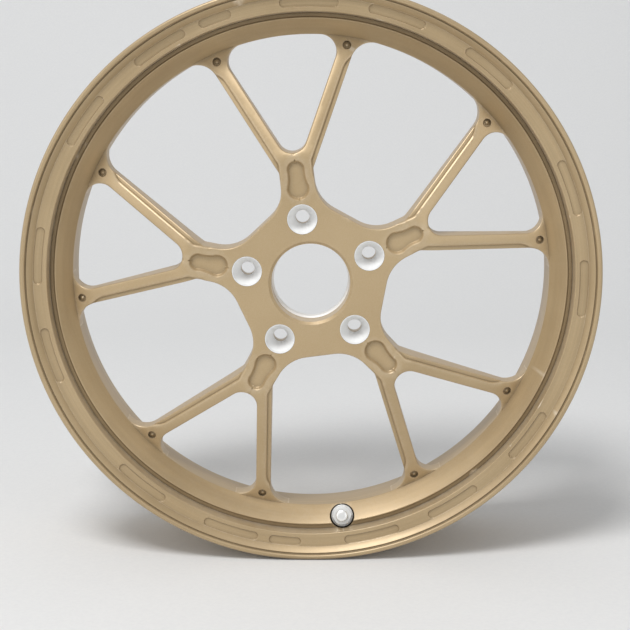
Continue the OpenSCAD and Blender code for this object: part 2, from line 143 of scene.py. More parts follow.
# %% Rounded outlines
def rounded(corners, step=15.0, closed=True):
    """Replace each corner [a, b, radius] by the arc that touches both its sides.

    The arc's centre lies on the corner's bisector, radius / sin(half angle) from the corner.
    """
    pts = np.array([c[:2] for c in corners], float)
    out = []
    count = len(pts)
    for i, (a, b, radius) in enumerate(corners):
        if radius == 0 or (not closed and i in (0, count - 1)):
            out.append([[a, b]])
            continue
        here = pts[i]
        u = pts[i - 1] - here
        v = pts[(i + 1) % count] - here
        u, v = u / np.linalg.norm(u), v / np.linalg.norm(v)
        half = np.arccos(np.clip(u @ v, -1, 1)) / 2
        mid = here + (u + v) / np.linalg.norm(u + v) * radius / np.sin(half)
        p = here + u * radius / np.tan(half) - mid
        q = here + v * radius / np.tan(half) - mid
        start = np.arctan2(p[1], p[0])
        sweep = (np.arctan2(q[1], q[0]) - start + 3 * np.pi) % (2 * np.pi) - np.pi
        t = start + sweep * np.linspace(0, 1, max(2, int(np.ceil(abs(np.degrees(sweep)) / step)) + 1))
        out.append(mid + radius * np.column_stack([np.cos(t), np.sin(t)]))
    return np.vstack(out)


def resampled(line, spacing, closed=False):
    """Put points along a line so that no step is longer than spacing, keeping its own points."""
    pts = np.vstack([line, line[:1]]) if closed else np.asarray(line)
    step = np.linalg.norm(np.diff(pts, axis=0), axis=1)
    parts = [np.linspace(a, b, max(1, int(np.ceil(s / spacing))), endpoint=False)
             for a, b, s in zip(pts[:-1], pts[1:], step) if s > 1e-6]
    out = np.vstack(parts)
    return out if closed else np.vstack([out, pts[-1:]])


# %% From the drawing to the frame
def upright(local):
    """Stand the drawing up: turn it by the star's angle, then send x, y, z to x, -z, y."""
    c, s = np.cos(TURN), np.sin(TURN)
    x = local[:, 0] * c - local[:, 1] * s
    y = local[:, 0] * s + local[:, 1] * c
    return np.column_stack([x, -local[:, 2], y]) / MM


def grid_faces(rows, cols, wrap_rows=True, wrap_cols=True):
    """The quads of a grid whose point (i, j) has number i * cols + j."""
    i = np.arange(rows if wrap_rows else rows - 1)
    j = np.arange(cols if wrap_cols else cols - 1)
    i, j = np.meshgrid(i, j, indexing="ij")
    i2, j2 = (i + 1) % rows, (j + 1) % cols
    return np.stack([i * cols + j, i2 * cols + j, i2 * cols + j2, i * cols + j2], -1).reshape(-1, 4)


def enclosed(points, quads):
    """Six times the volume that the quads enclose, positive when they face outwards."""
    a, b, c, d = (points[quads[:, k]] for k in range(4))
    return (np.cross(a, b) * c).sum() + (np.cross(a, c) * d).sum()


# %% Putting a mesh in the scene
def in_scene(name, data):
    """Make an object of a mesh, a lamp or a camera, and link it into the scene."""
    made = bpy.data.objects.new(name, data)
    bpy.context.collection.objects.link(made)
    return made


def add_piece(name, points, faces, body, replaces=(), face_slot=None, sharp=32, lathe=None,
              weld=0.0):
    """Make a mesh from metres and a list of face arrays, and tell the frame what it stands for.

    face_slot gives each face its material's number, and lathe each point its turning coordinates.
    With weld, points closer than that many metres become one, and all faces are turned outwards.
    """
    mesh = bpy.data.meshes.new(name)
    faces = [f for f in faces if len(f)]
    sizes = np.concatenate([np.full(len(f), f.shape[1]) for f in faces])
    corners = np.concatenate([f.ravel() for f in faces])
    mesh.vertices.add(len(points))
    mesh.vertices.foreach_set("co", np.asarray(points, np.float32).ravel())
    mesh.loops.add(len(corners))
    mesh.loops.foreach_set("vertex_index", corners.astype(np.int32))
    mesh.polygons.add(len(sizes))
    mesh.polygons.foreach_set("loop_start", np.concatenate([[0], np.cumsum(sizes)[:-1]]).astype(np.int32))
    if face_slot is not None:
        mesh.polygons.foreach_set("material_index", face_slot.astype(np.int32))
    mesh.update(calc_edges=True)
    mesh.validate()
    if weld:
        shape = bmesh.new()
        shape.from_mesh(mesh)
        bmesh.ops.remove_doubles(shape, verts=shape.verts, dist=weld)
        bmesh.ops.recalc_face_normals(shape, faces=shape.faces)
        print(name, "edges not shared by two faces:", sum(len(e.link_faces) != 2 for e in shape.edges))
        shape.to_mesh(mesh)
        shape.free()
    mesh.shade_smooth()
    mesh.set_sharp_from_angle(angle=np.radians(sharp))
    if lathe is not None:
        turning = mesh.attributes.new("lathe", "FLOAT_VECTOR", "POINT")
        turning.data.foreach_set("vector", lathe.astype(np.float32).ravel())
    piece = in_scene(name, mesh)
    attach(piece, body)
    if replaces:
        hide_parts(*replaces)
    print(name, len(points), "points,", len(sizes), "faces")
    return piece


# %% [markdown]
# ## The rim
#
# The rim is turned from the forging on a lathe: a rounded lip, a slope, the flat band, a narrow
# groove, the dish, and behind them the bead seats, the drop centre and the rear flange. A Screw
# modifier could turn the profile too, but a grid of our own lets the band have its milled
# pockets later, and gives clean rings that follow the lathe's cuts.

# %% Rim profile
ramp = np.array([SEAT_IN_R - WELL_R, RAMP_END - WELL_REAR])
ramp = ramp / np.linalg.norm(ramp)
ramp_in = np.array([WELL_R, WELL_REAR]) + RIM_WALL * np.array([ramp[1], -ramp[0]])


def ramp_in_z(r):
    """Height of the ramp's inner face at radius r."""
    return ramp_in[1] + (r - ramp_in[0]) * ramp[1] / ramp[0]


def safety_hump(z):
    """The low ridge beside a bead seat, from height z on, that keeps the tyre from slipping in."""
    return [[SEAT_IN_R, z, 0], [SEAT_IN_R + 1, z + 1.4, 0.6], [SEAT_IN_R + 1, z + HUMP_W - 1.4, 0.6],
            [SEAT_IN_R, z + HUMP_W, 0]]


rim_corners = [
    [FLANGE_R, LIP_FRONT, LIP_ROUND], [FLANGE_R - LIP_W, LIP_FRONT, LIP_ROUND],
    [VALLEY_R, LIP_FRONT - 3.3, 0.4], [SLOPE_TOP_R, SLOPE_TOP_Z, 0.5],
    [SLOPE_FOOT_R - 0.2, BAND_Z - 0.18, 0], [SLOPE_FOOT_R - 1.5, BAND_Z - BAND_SINK, 0],
    [BAND_IN_R + 1.5, BAND_Z - BAND_SINK, 0], [BAND_IN_R - 0.2, GROOVE_Z - 0.8, 0],
    [BAND_IN_R - 1.0, GROOVE_Z, 0.6], [CREST_R + 1, GROOVE_Z, 0.8], [CREST_R, CREST_Z, 0.9],
    [WINDOW_R, DISH_Z, EDGE_R], [WINDOW_R, ramp_in_z(WINDOW_R), 5],
    [BARREL_R, ramp_in_z(BARREL_R), 5], [BARREL_R, REAR_Z + REAR_WALL, REAR_WALL - 0.1],
    [FLANGE_R - REAR_LIP_W, REAR_Z + REAR_WALL, 3.5], [FLANGE_R - REAR_LIP_W, REAR_Z, 2.5],
    [FLANGE_R, REAR_Z, 2.7], [FLANGE_R, -HALF_W, CURL_R], [SEAT_R, -HALF_W, ROOT_R],
    *safety_hump(-SEAT_IN_Z), [SEAT_IN_R, RAMP_END, 3], [WELL_R, WELL_REAR, 3], [WELL_R, WELL_FRONT, 1.5],
    *safety_hump(SHOULDER_Z), [SEAT_R, HALF_W, ROOT_R], [FLANGE_R, HALF_W, CURL_R]]
rim_profile = rounded(rim_corners)
print("rim profile:", len(rim_profile), "points")


# %% Turning a profile
def carried_round(radius, height, angles):
    """Carry radii and heights round the axis: x = r sin a, y = r cos a, z = height.

    Both are one value for each profile point, or one for each angle and profile point.
    """
    x, y = radius * np.sin(angles)[:, None], radius * np.cos(angles)[:, None]
    return np.stack([x, y, np.broadcast_to(height, x.shape)], -1).reshape(-1, 3)


def facing_out(points, quads):
    """Turn all the quads round if they face inwards."""
    return quads if enclosed(points, quads) > 0 else quads[:, ::-1]


rim_angles = np.linspace(0, 2 * np.pi, 480, endpoint=False)
rim_points = carried_round(*rim_profile.T, rim_angles)
rim_quads = facing_out(rim_points, grid_faces(len(rim_angles), len(rim_profile)))
rim = add_piece("rim", upright(rim_points), [rim_quads], "wheel",
                ("rim_face", "rim_well", "rim_ramp", "rim_rear_seat", "rim_rear_flange"))

# %% [markdown]
# ## The band and its pockets
#
# The flat band inside the lip is milled with shallow slots. A Boolean could cut them, but their
# soft floor edges come more simply from a height rule: the depth at a point is a smooth step of
# its distance from the slot's middle line. The grid is finer where a slot ends, so the round
# ends stay round.

# %% Slot rule
POCKET_ANGLES = np.array([25.3, 47, 77.4, 99, 133.2, 155])
POCKET_LONG = 5.1
POCKET_SHORT = 2.5
POCKET_R = SLOPE_FOOT_R - 4.35
POCKET_HALF = 4.2
POCKET_DEPTH = 1.2
pocket_mid = np.concatenate([POCKET_ANGLES, -POCKET_ANGLES, [7, 174], [193, 347.5]])
pocket_reach = np.concatenate([np.full(len(pocket_mid) - 2, POCKET_LONG), [POCKET_SHORT, POCKET_SHORT]])


def smooth_step(low, high, x):
    """Zero below low, one above high, and 3t^2 - 2t^3 between."""
    t = np.clip((x - low) / (high - low), 0, 1)
    return t * t * (3 - 2 * t)


def pocket_drop(angle, radius):
    """How deep the slots are at a place on the band.

    The distance to a slot's middle arc is measured along the arc past its ends and across it
    inside them; the floor lies where that distance is under half the slot's width.
    """
    away = (np.degrees(angle)[..., None] - pocket_mid + 180) % 360 - 180
    past = np.radians(np.maximum(np.abs(away) - pocket_reach, 0)) * POCKET_R
    across = radius[..., None] - POCKET_R
    near = np.hypot(past, across).min(-1)
    return POCKET_DEPTH * smooth_step(0, 0.6, POCKET_HALF - near)


# %% Band mesh
band_corners = [
    [SLOPE_FOOT_R, BAND_Z, 0], [BAND_IN_R, BAND_Z, EDGE_R], [BAND_IN_R - 0.8, GROOVE_Z - 0.6, 0],
    [BAND_IN_R + 2, GROOVE_Z - 2, 0], [SLOPE_FOOT_R - 0.5, BAND_Z - 5, 0]]
band_profile = rounded(band_corners)
FLAT_ROWS = 34
flat = band_profile[:, 1] > BAND_Z - 0.001
flat_r = np.linspace(SLOPE_FOOT_R, band_profile[flat, 0].min(), FLAT_ROWS)
band_profile = np.vstack([np.column_stack([flat_r, np.full(FLAT_ROWS, BAND_Z)]), band_profile[~flat]])
ends = np.concatenate([pocket_mid - pocket_reach, pocket_mid + pocket_reach])
near_ends = (ends[:, None] + np.linspace(-1.2, 1.2, 17)).ravel() % 360
band_angles = np.unique(np.round(np.concatenate([np.arange(0, 360, 0.9), near_ends]), 2))
band_angles = np.radians(band_angles[np.append(np.diff(band_angles) > 0.08, True)])
a_grid, r_grid = np.meshgrid(band_angles, band_profile[:, 0], indexing="ij")
on_top = np.arange(len(band_profile)) < FLAT_ROWS
band_height = band_profile[:, 1] - pocket_drop(a_grid, r_grid) * on_top
band_points = carried_round(band_profile[:, 0], band_height, band_angles)
band_quads = facing_out(band_points, grid_faces(len(band_angles), len(band_profile)))
band = add_piece("rim_band", upright(band_points), [band_quads], "wheel", ("rim_front_flange",))

# %% [markdown]
# ## The star
#
# Hub, arms and spokes are one pressed and milled shape. It repeats every 36 degrees, mirrored, so
# a single wedge is drawn: from the middle of an arm to the middle of the gap beside it. Its face
# is a height over the drawing, worked out from distances: to the free edges, which are rounded,
# to the ledge beside each spoke, to the bean pocket, to the dimple and to the bore's chamfer. The
# drawing is filled with triangles by a constrained Delaunay triangulation, with rows of points
# laid along every edge so that the roundings are clean. Sculpting or a bevelled Boolean could
# come close, but neither keeps the ledge's soft shoulder exact.

# %% Outline of the wedge
SPOKE_A = np.radians(26.8)
SPOKE_W = 13.2
LEDGE_W = 3.4
LEDGE_STEP = 2.5
LEDGE_R = 2.5
ARM_HALF = 15.0
CROTCH_Y = 99.2
CROTCH_R = 13.2
SMALL_R = 15.0
LARGE_R = 19.0
SCALLOP = 66.0
LUG_MOUTH_R = (seat_high[2] - seat_low[2]) / 2
STUD_R = 6.3
BORE_R = 35.0
BORE_CHAMFER = 2.4
FOOT_R = WINDOW_R + 2.4
GAP_A = np.radians(36)
OUTER_Y = CROTCH_Y - SPOKE_W / np.sin(SPOKE_A)
LEDGE_Y = CROTCH_Y - (SPOKE_W - LEDGE_W) / np.sin(SPOKE_A)
ALONG = np.array([np.sin(SPOKE_A), np.cos(SPOKE_A)])
ACROSS = np.array([np.cos(SPOKE_A), -np.sin(SPOKE_A)])


def line_to_radius(y0, radius):
    """Distance along a spoke line from (0, y0) to the circle of the given radius."""
    return np.sqrt(radius**2 - (y0 * np.sin(SPOKE_A)) ** 2) - y0 * np.cos(SPOKE_A)


def polar(radius, angle):
    """A point of the drawing for each clockwise angle from the arm, in radians."""
    return np.stack([radius * np.sin(angle), radius * np.cos(angle)], -1)


def lug_arc(radius):
    """Half a circle about the lug's middle, from its lowest point up its right side."""
    return polar(radius, np.linspace(np.pi, 0, 25)) + [0, LUG_R]


def mirrored(points, angle):
    """Reflect points across the line through the centre at a clockwise angle from the arm."""
    d = polar(1, angle)
    points = np.asarray(points)
    return 2 * (points @ d)[:, None] * d - points


small_corner = np.array([0, CROTCH_Y]) + ALONG * line_to_radius(CROTCH_Y, WINDOW_R)
large_corner = np.array([0, OUTER_Y]) + ALONG * line_to_radius(OUTER_Y, WINDOW_R)
arm_corner = np.array([ARM_HALF, OUTER_Y + ARM_HALF / np.tan(SPOKE_A)])
scallop_corner = np.array([ARM_HALF, (SCALLOP - ARM_HALF * np.sin(GAP_A)) / np.cos(GAP_A)])
print("window corners:", small_corner.round(1), large_corner.round(1))


# %% Free edges of the wedge
def fillet_on_circle(y0, radius, side):
    """Centre of the fillet between a spoke line and the rim circle, and where it meets both.

    The centre lies one fillet radius off the line and one inside the rim circle.
    """
    off = side * radius * ACROSS
    foot = np.array([0, y0]) + off
    b = foot @ ALONG
    t = -b + np.sqrt(b * b - foot @ foot + (WINDOW_R - radius) ** 2)
    centre = foot + t * ALONG
    return centre, centre - off, centre * WINDOW_R / np.linalg.norm(centre)


def arc_between(centre, p, q, step=6.0):
    """Points on the shorter arc about centre from p to q."""
    a0, a1 = (np.arctan2(*(v - centre)[::-1]) for v in (p, q))
    sweep = (a1 - a0 + np.pi) % (2 * np.pi) - np.pi
    t = a0 + sweep * np.linspace(0, 1, max(2, int(np.degrees(abs(sweep)) / step) + 1))
    return centre + np.linalg.norm(p - centre) * np.column_stack([np.cos(t), np.sin(t)])


small_c, small_p, small_q = fillet_on_circle(CROTCH_Y, SMALL_R, -1)
large_c, large_p, large_q = fillet_on_circle(OUTER_Y, LARGE_R, 1)
crotch_c = np.array([0, CROTCH_Y + CROTCH_R / np.sin(SPOKE_A)])
crotch_p = crotch_c + CROTCH_R * ACROSS
small_edge = resampled(np.vstack([
    arc_between(crotch_c, np.array([0, crotch_c[1] - CROTCH_R]), crotch_p),
    arc_between(small_c, small_p, small_q)]), 1.6)
gap_point = SCALLOP * polar(1, GAP_A)
flank = [[*large_p, 0], [*arm_corner, 8], [*scallop_corner, SCALLOP / 2], [*gap_point, 0]]
large_edge = resampled(np.vstack([arc_between(large_c, large_q, large_p), rounded(flank, 6, False)[1:]]), 1.6)
lug_mouth = lug_arc(LUG_MOUTH_R)
bore_edge = polar(1, np.linspace(GAP_A, 0, 15))
foot_edge = polar(FOOT_R, np.linspace(np.arctan2(*small_edge[-1]), np.arctan2(*large_edge[0]), 14))
print("free edge points:", len(small_edge), len(large_edge))


# %% Distances
def distance_to(points, line):
    """Shortest distance from each point to a line of straight steps."""
    a, b = line[:-1], line[1:]
    ab = b - a
    out = np.full(len(points), np.inf)
    for part in np.array_split(np.arange(len(a)), max(1, len(a) * len(points) // 3_000_000 + 1)):
        ap = points[:, None, :] - a[None, part]
        t = np.clip((ap * ab[part]).sum(-1) / (ab[part] ** 2).sum(-1), 0, 1)
        gap = np.linalg.norm(ap - t[..., None] * ab[part], axis=-1)
        out = np.minimum(out, gap.min(1))
    return out


def inside(points, loop):
    """True where a point lies inside a closed outline: it is crossed an odd number of times."""
    a, b = loop, np.roll(loop, -1, axis=0)
    x, y = points[:, :1], points[:, 1:]
    spans = (a[:, 1] > y) != (b[:, 1] > y)
    rise = np.where(b[:, 1] == a[:, 1], 1e-12, b[:, 1] - a[:, 1])
    cross = a[:, 0] + (y - a[:, 1]) * (b[:, 0] - a[:, 0]) / rise
    return ((spans & (x < cross)).sum(1) % 2).astype(bool)


def edge_distance(points):
    """Distance to the nearest free edge, whether the wedge's own or a mirrored neighbour's."""
    edges = [small_edge, mirrored(small_edge, 0), large_edge, mirrored(large_edge, GAP_A)]
    return np.min([distance_to(points, e) for e in edges], axis=0)


def offset_line(line, gap):
    """Move a line sideways by gap, to the right of its direction."""
    step = np.gradient(line, axis=0)
    step /= np.linalg.norm(step, axis=1)[:, None]
    return line + gap * np.column_stack([step[:, 1], -step[:, 0]])


# %% Ledge, bean pocket and dimple
LEDGE_END = 21
ledge_start = np.array([ARM_HALF, LEDGE_Y + ARM_HALF / np.tan(SPOKE_A)])
ledge_stop = np.array([0, LEDGE_Y]) + ALONG * (line_to_radius(LEDGE_Y, WINDOW_R) - LEDGE_END)
run_out = np.radians(38) + SPOKE_A
ledge_out = ledge_stop + 10 * np.array([np.sin(run_out), np.cos(run_out)])
ledge_line = resampled(rounded(
    [[ARM_HALF, arm_corner[1] - 6, 0], [*ledge_start, 5], [*ledge_stop, 20], [*ledge_out, 0]], 5, False), 1.3)
ledge_side = np.vstack([ledge_line, [ledge_out + 20 * ACROSS, [ARM_HALF + 30, arm_corner[1] - 30],
                                     [ARM_HALF, arm_corner[1] - 30]]])
BEAN_DEPTH = 3.2
BEAN_WALL = 2.4
BEAN_BIG_R = 10.2
BEAN_SMALL_R = 8.2
bean_big = np.array([0, 84.0])
bean_small = np.array([0, 101.0])
bean_waist = np.array([38.0, 97.1])


def towards(start, goal, distance):
    """The point at a distance from start, on the way to goal."""
    return start + distance * (goal - start) / np.linalg.norm(goal - start)


bean_t1 = towards(bean_big, bean_waist, BEAN_BIG_R)
bean_t2 = towards(bean_small, bean_waist, BEAN_SMALL_R)
bean_edge = resampled(np.vstack([
    arc_between(bean_big, bean_big - [0, BEAN_BIG_R], bean_t1),
    arc_between(bean_waist, bean_t1, bean_t2, 2.5),
    arc_between(bean_small, bean_t2, bean_small + [0, BEAN_SMALL_R])]), 1.4)
bean_loop = np.vstack([bean_edge, bean_edge[-2:0:-1] * [-1, 1]])
DIMPLE_R = 3.9
DIMPLE_DEPTH = 2.4
DOME_H = 1.8
DOME_R = 2.6
dimple = polar(WINDOW_R - 7.1, np.radians(16.1))


# %% Height of the star's face
def quarter_round(distance, radius):
    """How far a rounded edge lies below its face: radius minus the root of r^2 - (r - d)^2."""
    d = np.clip(distance, 0, radius)
    return radius - np.sqrt(np.maximum(radius**2 - (radius - d) ** 2, 0))


def soft_bend(x, width):
    """Zero for x well below nought, x well above it, with a parabola of that width between."""
    t = np.clip(x + width, 0, 2 * width)
    return np.where(x > width, x, t * t / (4 * width))


FLAT_R = 110.0
BEND_W = 6.0
FRONT_SLOPE = (HUB_FACE - DISH_Z) / (WINDOW_R - FLAT_R)
LUG_EDGE_R = 0.4


def face_height(points):
    """Height of the front face: flat hub, sloping spokes, less every rounding and pocket."""
    r = np.hypot(points[:, 0], points[:, 1])
    z = HUB_FACE - FRONT_SLOPE * soft_bend(r - FLAT_R, BEND_W)
    side = distance_to(points, ledge_line) * np.where(inside(points, ledge_side), -1, 1)
    lowered = np.where(side > 0, quarter_round(side, LEDGE_R), LEDGE_STEP)
    z -= np.minimum(lowered, LEDGE_STEP) * smooth_step(arm_corner[1] - 12, arm_corner[1] - 3, points[:, 1])
    z -= quarter_round(edge_distance(points), EDGE_R)
    bean = distance_to(points, np.vstack([bean_loop, bean_loop[:1]]))
    z -= np.where(inside(points, bean_loop), BEAN_DEPTH * smooth_step(0, BEAN_WALL, bean), 0)
    hollow = np.hypot(*(points - dimple).T)
    z -= DIMPLE_DEPTH * smooth_step(0, 0.8, DIMPLE_R - hollow) - DOME_H * smooth_step(-DOME_R, 0, -hollow)
    z -= np.maximum(BORE_CHAMFER - (r - BORE_R), 0)
    z -= quarter_round(np.hypot(points[:, 0], points[:, 1] - LUG_R) - LUG_MOUTH_R, LUG_EDGE_R)
    return z


BACK_ROUND = 2.0
BACK_RIM_Z = DISH_Z - 18.4
PAD_R = 76.0
back_r = [0, PAD_R, FLAT_R, WINDOW_R, FOOT_R]
back_z = [OFFSET, OFFSET, OFFSET - 1, BACK_RIM_Z, BACK_RIM_Z]


def back_height(points):
    """Height of the back: the mounting pad, then a gentle and a steeper slope to the rim."""
    r = np.hypot(points[:, 0], points[:, 1])
    return np.interp(r, back_r, back_z) + quarter_round(edge_distance(points), BACK_ROUND)


# %% Filling the wedge with triangles
def wedge_outline(bore_radius, lug_radius, spacing):
    """The closed outline of the wedge, with points at the given spacing along its two seams."""
    lug, bore = lug_arc(lug_radius), bore_edge * bore_radius
    seams = [resampled(np.array(pair), spacing)[1:-1]
             for pair in ((bore[-1], lug[0]), (lug[-1], small_edge[0]), (large_edge[-1], bore[0]))]
    return np.vstack([bore, seams[0], lug, seams[1], small_edge, foot_edge, large_edge, seams[2]])


def filled(outline, rows, spacing):
    """Triangulate an outline with extra rows of points and an even triangular lattice inside.

    Lattice points too near the outline or a row are left out, so that no sliver is made.
    """
    low, high = outline.min(0), outline.max(0)
    x, y = np.meshgrid(np.arange(low[0], high[0], spacing), np.arange(low[1], high[1], spacing * 0.866))
    x = x + spacing / 2 * (np.arange(len(x)) % 2)[:, None]
    lattice = np.column_stack([x.ravel(), y.ravel()])
    closed = np.vstack([outline, outline[:1]])
    clear = distance_to(lattice, closed) > spacing * 0.45
    lattice = lattice[clear & inside(lattice, outline)]
    row_points = np.vstack(rows)
    row_points = row_points[inside(row_points, outline)]
    row_points = row_points[distance_to(row_points, closed) > 0.08]
    gap = np.full(len(lattice), np.inf)
    for part in np.array_split(row_points, max(1, len(row_points) // 400)):
        gap = np.minimum(gap, np.linalg.norm(lattice[:, None] - part[None], axis=-1).min(1))
    pts = np.vstack([outline, row_points, lattice[gap > spacing * 0.5]])
    out = delaunay_2d_cdt([tuple(p) for p in pts], [], [list(range(len(outline)))], 1, 1e-5)
    return np.array([tuple(v) for v in out[0]]), np.array([list(f) for f in out[2]])


round_steps = np.array([0.13, 0.5, 1.0])
face_rows = [offset_line(e, EDGE_R * s) for e in (small_edge, large_edge) for s in round_steps]
face_rows += [offset_line(ledge_line, -LEDGE_R * s) for s in np.append(round_steps, 0)]
face_rows += [bean_edge] + [offset_line(bean_edge, -BEAN_WALL * s) for s in (0.25, 0.5, 0.75, 1)]
full_turn = np.linspace(0, 2 * np.pi, 24, endpoint=False)
face_rows += [dimple + polar(g, full_turn) for g in (4.1, 3.9, 3.5, 3.1, 2.2, 1.2, 0.05)]
face_rows += [bore_edge * (BORE_R + g) for g in (BORE_CHAMFER, 0.8, 1.6, BORE_CHAMFER + 0.5)]
face_rows += [lug_arc(LUG_MOUTH_R + g) for g in (0.2, 0.45, 1.5)]
front_outline = wedge_outline(BORE_R, LUG_MOUTH_R, 2.5)
front_xy, front_tri = filled(front_outline, face_rows, 3.0)
back_rows = [offset_line(e, BACK_ROUND * s) for e in (small_edge, large_edge) for s in round_steps]
back_rows.append(polar(FLAT_R, np.linspace(0.02, 0.6, 40)))
back_outline = wedge_outline(RING_R, STUD_R, 5.0)
back_xy, back_tri = filled(back_outline, back_rows, 5.0)
print("wedge:", len(front_tri), "front and", len(back_tri), "back triangles")


# %% [markdown]
# ## Closing the star
#
# Face and back are joined by walls that follow the free edges, a bore wall with the step that
# takes the centring ring, and a bore for each lug seat. The wedge is then mirrored across its
# two seams, ten copies in all. The seams are welded and the faces turned outwards, which leaves
# one closed skin.

# %% Walls between face and back
def wall(top, bottom, rows):
    """A strip between two lines of the same number of points, in straight steps."""
    t = np.linspace(0, 1, rows)[:, None, None]
    grid = top * (1 - t) + bottom * t
    return grid.reshape(-1, 3), grid_faces(rows, len(top), False, False)


def lines_to_strip(lines):
    """A strip through several lines of the same number of points."""
    return np.vstack(lines), grid_faces(len(lines), len(lines[0]), False, False)


def lifted(xy, z):
    """Points of the drawing at a height, one for all or one each."""
    return np.column_stack([xy, np.broadcast_to(z, len(xy))])


def span(outline, first, last):
    """The stretch of an outline from the point nearest first to the point nearest last."""
    i = int(np.argmin(np.linalg.norm(outline - first, axis=1)))
    j = int(np.argmin(np.linalg.norm(outline - last, axis=1)))
    return outline[i:j + 1]


free = span(front_outline, small_edge[0], large_edge[-1])
strips = [wall(lifted(free, face_height(free)), lifted(free, back_height(free)), 5)]
SEAT_FLOOR = HUB_FACE - 22
BORE_STEP = 12
stud_hole = lug_arc(STUD_R)
strips.append(lines_to_strip([
    lifted(lug_mouth, face_height(lug_mouth)), lifted(lug_mouth, SEAT_FLOOR),
    lifted(stud_hole, SEAT_FLOOR), lifted(stud_hole, back_height(stud_hole))]))
bore_steps = [(BORE_R, face_height(bore_edge * BORE_R)), (BORE_R, HUB_FACE - BORE_STEP),
              (BORE_R, OFFSET + BORE_STEP), (RING_R, OFFSET + BORE_STEP), (RING_R, OFFSET)]
strips.append(lines_to_strip([lifted(bore_edge * r, z) for r, z in bore_steps]))


# %% One wedge, ten copies
def wedge_mesh():
    """All the wedge's points and triangles, with a mark on the last strip, the bare machined bore."""
    points = [lifted(front_xy, face_height(front_xy)), lifted(back_xy, back_height(back_xy))]
    tris = [front_tri, back_tri[:, ::-1] + len(front_xy)]
    start = len(front_xy) + len(back_xy)
    for strip_points, quads in strips:
        points.append(strip_points)
        tris.append(np.vstack([quads[:, [0, 1, 2]], quads[:, [0, 2, 3]]]) + start)
        start += len(strip_points)
    bare = np.concatenate([np.full(len(t), t is tris[-1]) for t in tris])
    return np.vstack(points), np.vstack(tris), bare


one_points, one_tris, one_bare = wedge_mesh()
star_points, star_tris = [], []
for k in range(5):
    c, s = np.cos(2 * GAP_A * k), np.sin(2 * GAP_A * k)
    turn = np.array([[c, -s, 0], [s, c, 0], [0, 0, 1]])
    for flip in (1, -1):
        star_tris.append(one_tris[:, ::flip] + len(one_points) * len(star_points))
        star_points.append(one_points * [flip, 1, 1] @ turn)
star = add_piece("star", upright(np.vstack(star_points)), [np.vstack(star_tris)], "wheel",
                 ("hub", *[f"spoke_{i}" for i in range(1, 11)]), np.tile(one_bare, 10), weld=0.008 / MM)

# %% [markdown]
# ## The valve's seat in the rim
#
# The valve stands in a flat round pocket in the dish, square to its own axis, with a hole through
# to the drop centre. The pocket runs out over the dish, the groove and the band at odd angles, so
# here a Boolean is the right tool: a cutter is turned about the valve's axis, taken away from
# both skins, and thrown away. The valve's place comes from the box of its rubber washer, whose
# middle lies on the valve's axis.

# %% Where the valve stands
VALVE_POCKET_R = 11.4
VALVE_HOLE_R = 5.75
WASHER_T = 1.6
washer_mid = np.mean(node_box("valve_rubber_washer"), axis=0)
VALVE_AT = np.array([0, -np.hypot(washer_mid[0], washer_mid[2]) - WASHER_T / 2 * np.sin(VALVE_TILT),
                     -washer_mid[1] - WASHER_T / 2 * np.cos(VALVE_TILT)])
SHOULDER_AT_VALVE = SHOULDER_Z - (SEAT_IN_R + VALVE_AT[1]) * np.tan(VALVE_TILT)
GRIP = (VALVE_AT[2] - SHOULDER_AT_VALVE) * np.cos(VALVE_TILT)
print("valve at", VALVE_AT.round(2), "grip", round(GRIP, 2), "mm")


# %% Turned parts about any axis
def placed(local, origin, tilt=0.0, arm=0):
    """Move points drawn about z: lean them to the centre by tilt, shift them, turn them to an arm."""
    c, s = np.cos(tilt), np.sin(tilt)
    y = local[:, 1] * c + local[:, 2] * s + origin[1]
    z = local[:, 2] * c - local[:, 1] * s + origin[2]
    x = local[:, 0] + origin[0]
    c, s = np.cos(2 * GAP_A * arm), np.sin(2 * GAP_A * arm)
    return np.column_stack([x * c + y * s, y * c - x * s, z])


def lathe_coords(local):
    """Coordinates that follow the turning: the unit direction from the axis, and z + 1.7 r.

    The third one changes along any profile but a steep cone, so a fine noise of it draws the rings
    that a tool leaves, with no seam.
    """
    r = np.maximum(np.hypot(local[:, 0], local[:, 1]), 1e-6)
    return np.column_stack([local[:, 0] / r, local[:, 1] / r, local[:, 2] + 1.7 * r])


def turned_grid(profile, sides=72, spread=None):
    """A profile turned about z as points and face arrays.

    A profile whose two ends lie on the axis is closed there by fans of triangles; any other is a
    closed ring. spread(angles, profile), if given, is added to the radius.
    """
    angles = np.linspace(0, 2 * np.pi, sides, endpoint=False)
    on_axis = profile[0, 0] == 0 and profile[-1, 0] == 0
    body = profile[1:-1] if on_axis else profile
    radius = body[:, 0] + (0 if spread is None else spread(angles[:, None], body[None]))
    points = carried_round(radius, body[:, 1], angles)
    faces = [grid_faces(sides, len(body), True, not on_axis)]
    if on_axis:
        first = np.arange(sides) * len(body)
        after = np.roll(first, -1)
        last = len(body) - 1
        poles = np.full(sides, len(points))
        faces.append(np.column_stack([after, first, poles]))
        faces.append(np.column_stack([first + last, after + last, poles + 1]))
        points = np.vstack([points, [[0, 0, profile[0, 1]], [0, 0, profile[-1, 1]]]])
    if sum(enclosed(points, f[:, [0, 1, 2, -1]]) for f in faces) < 0:
        faces = [f[:, ::-1] for f in faces]
    return points, faces


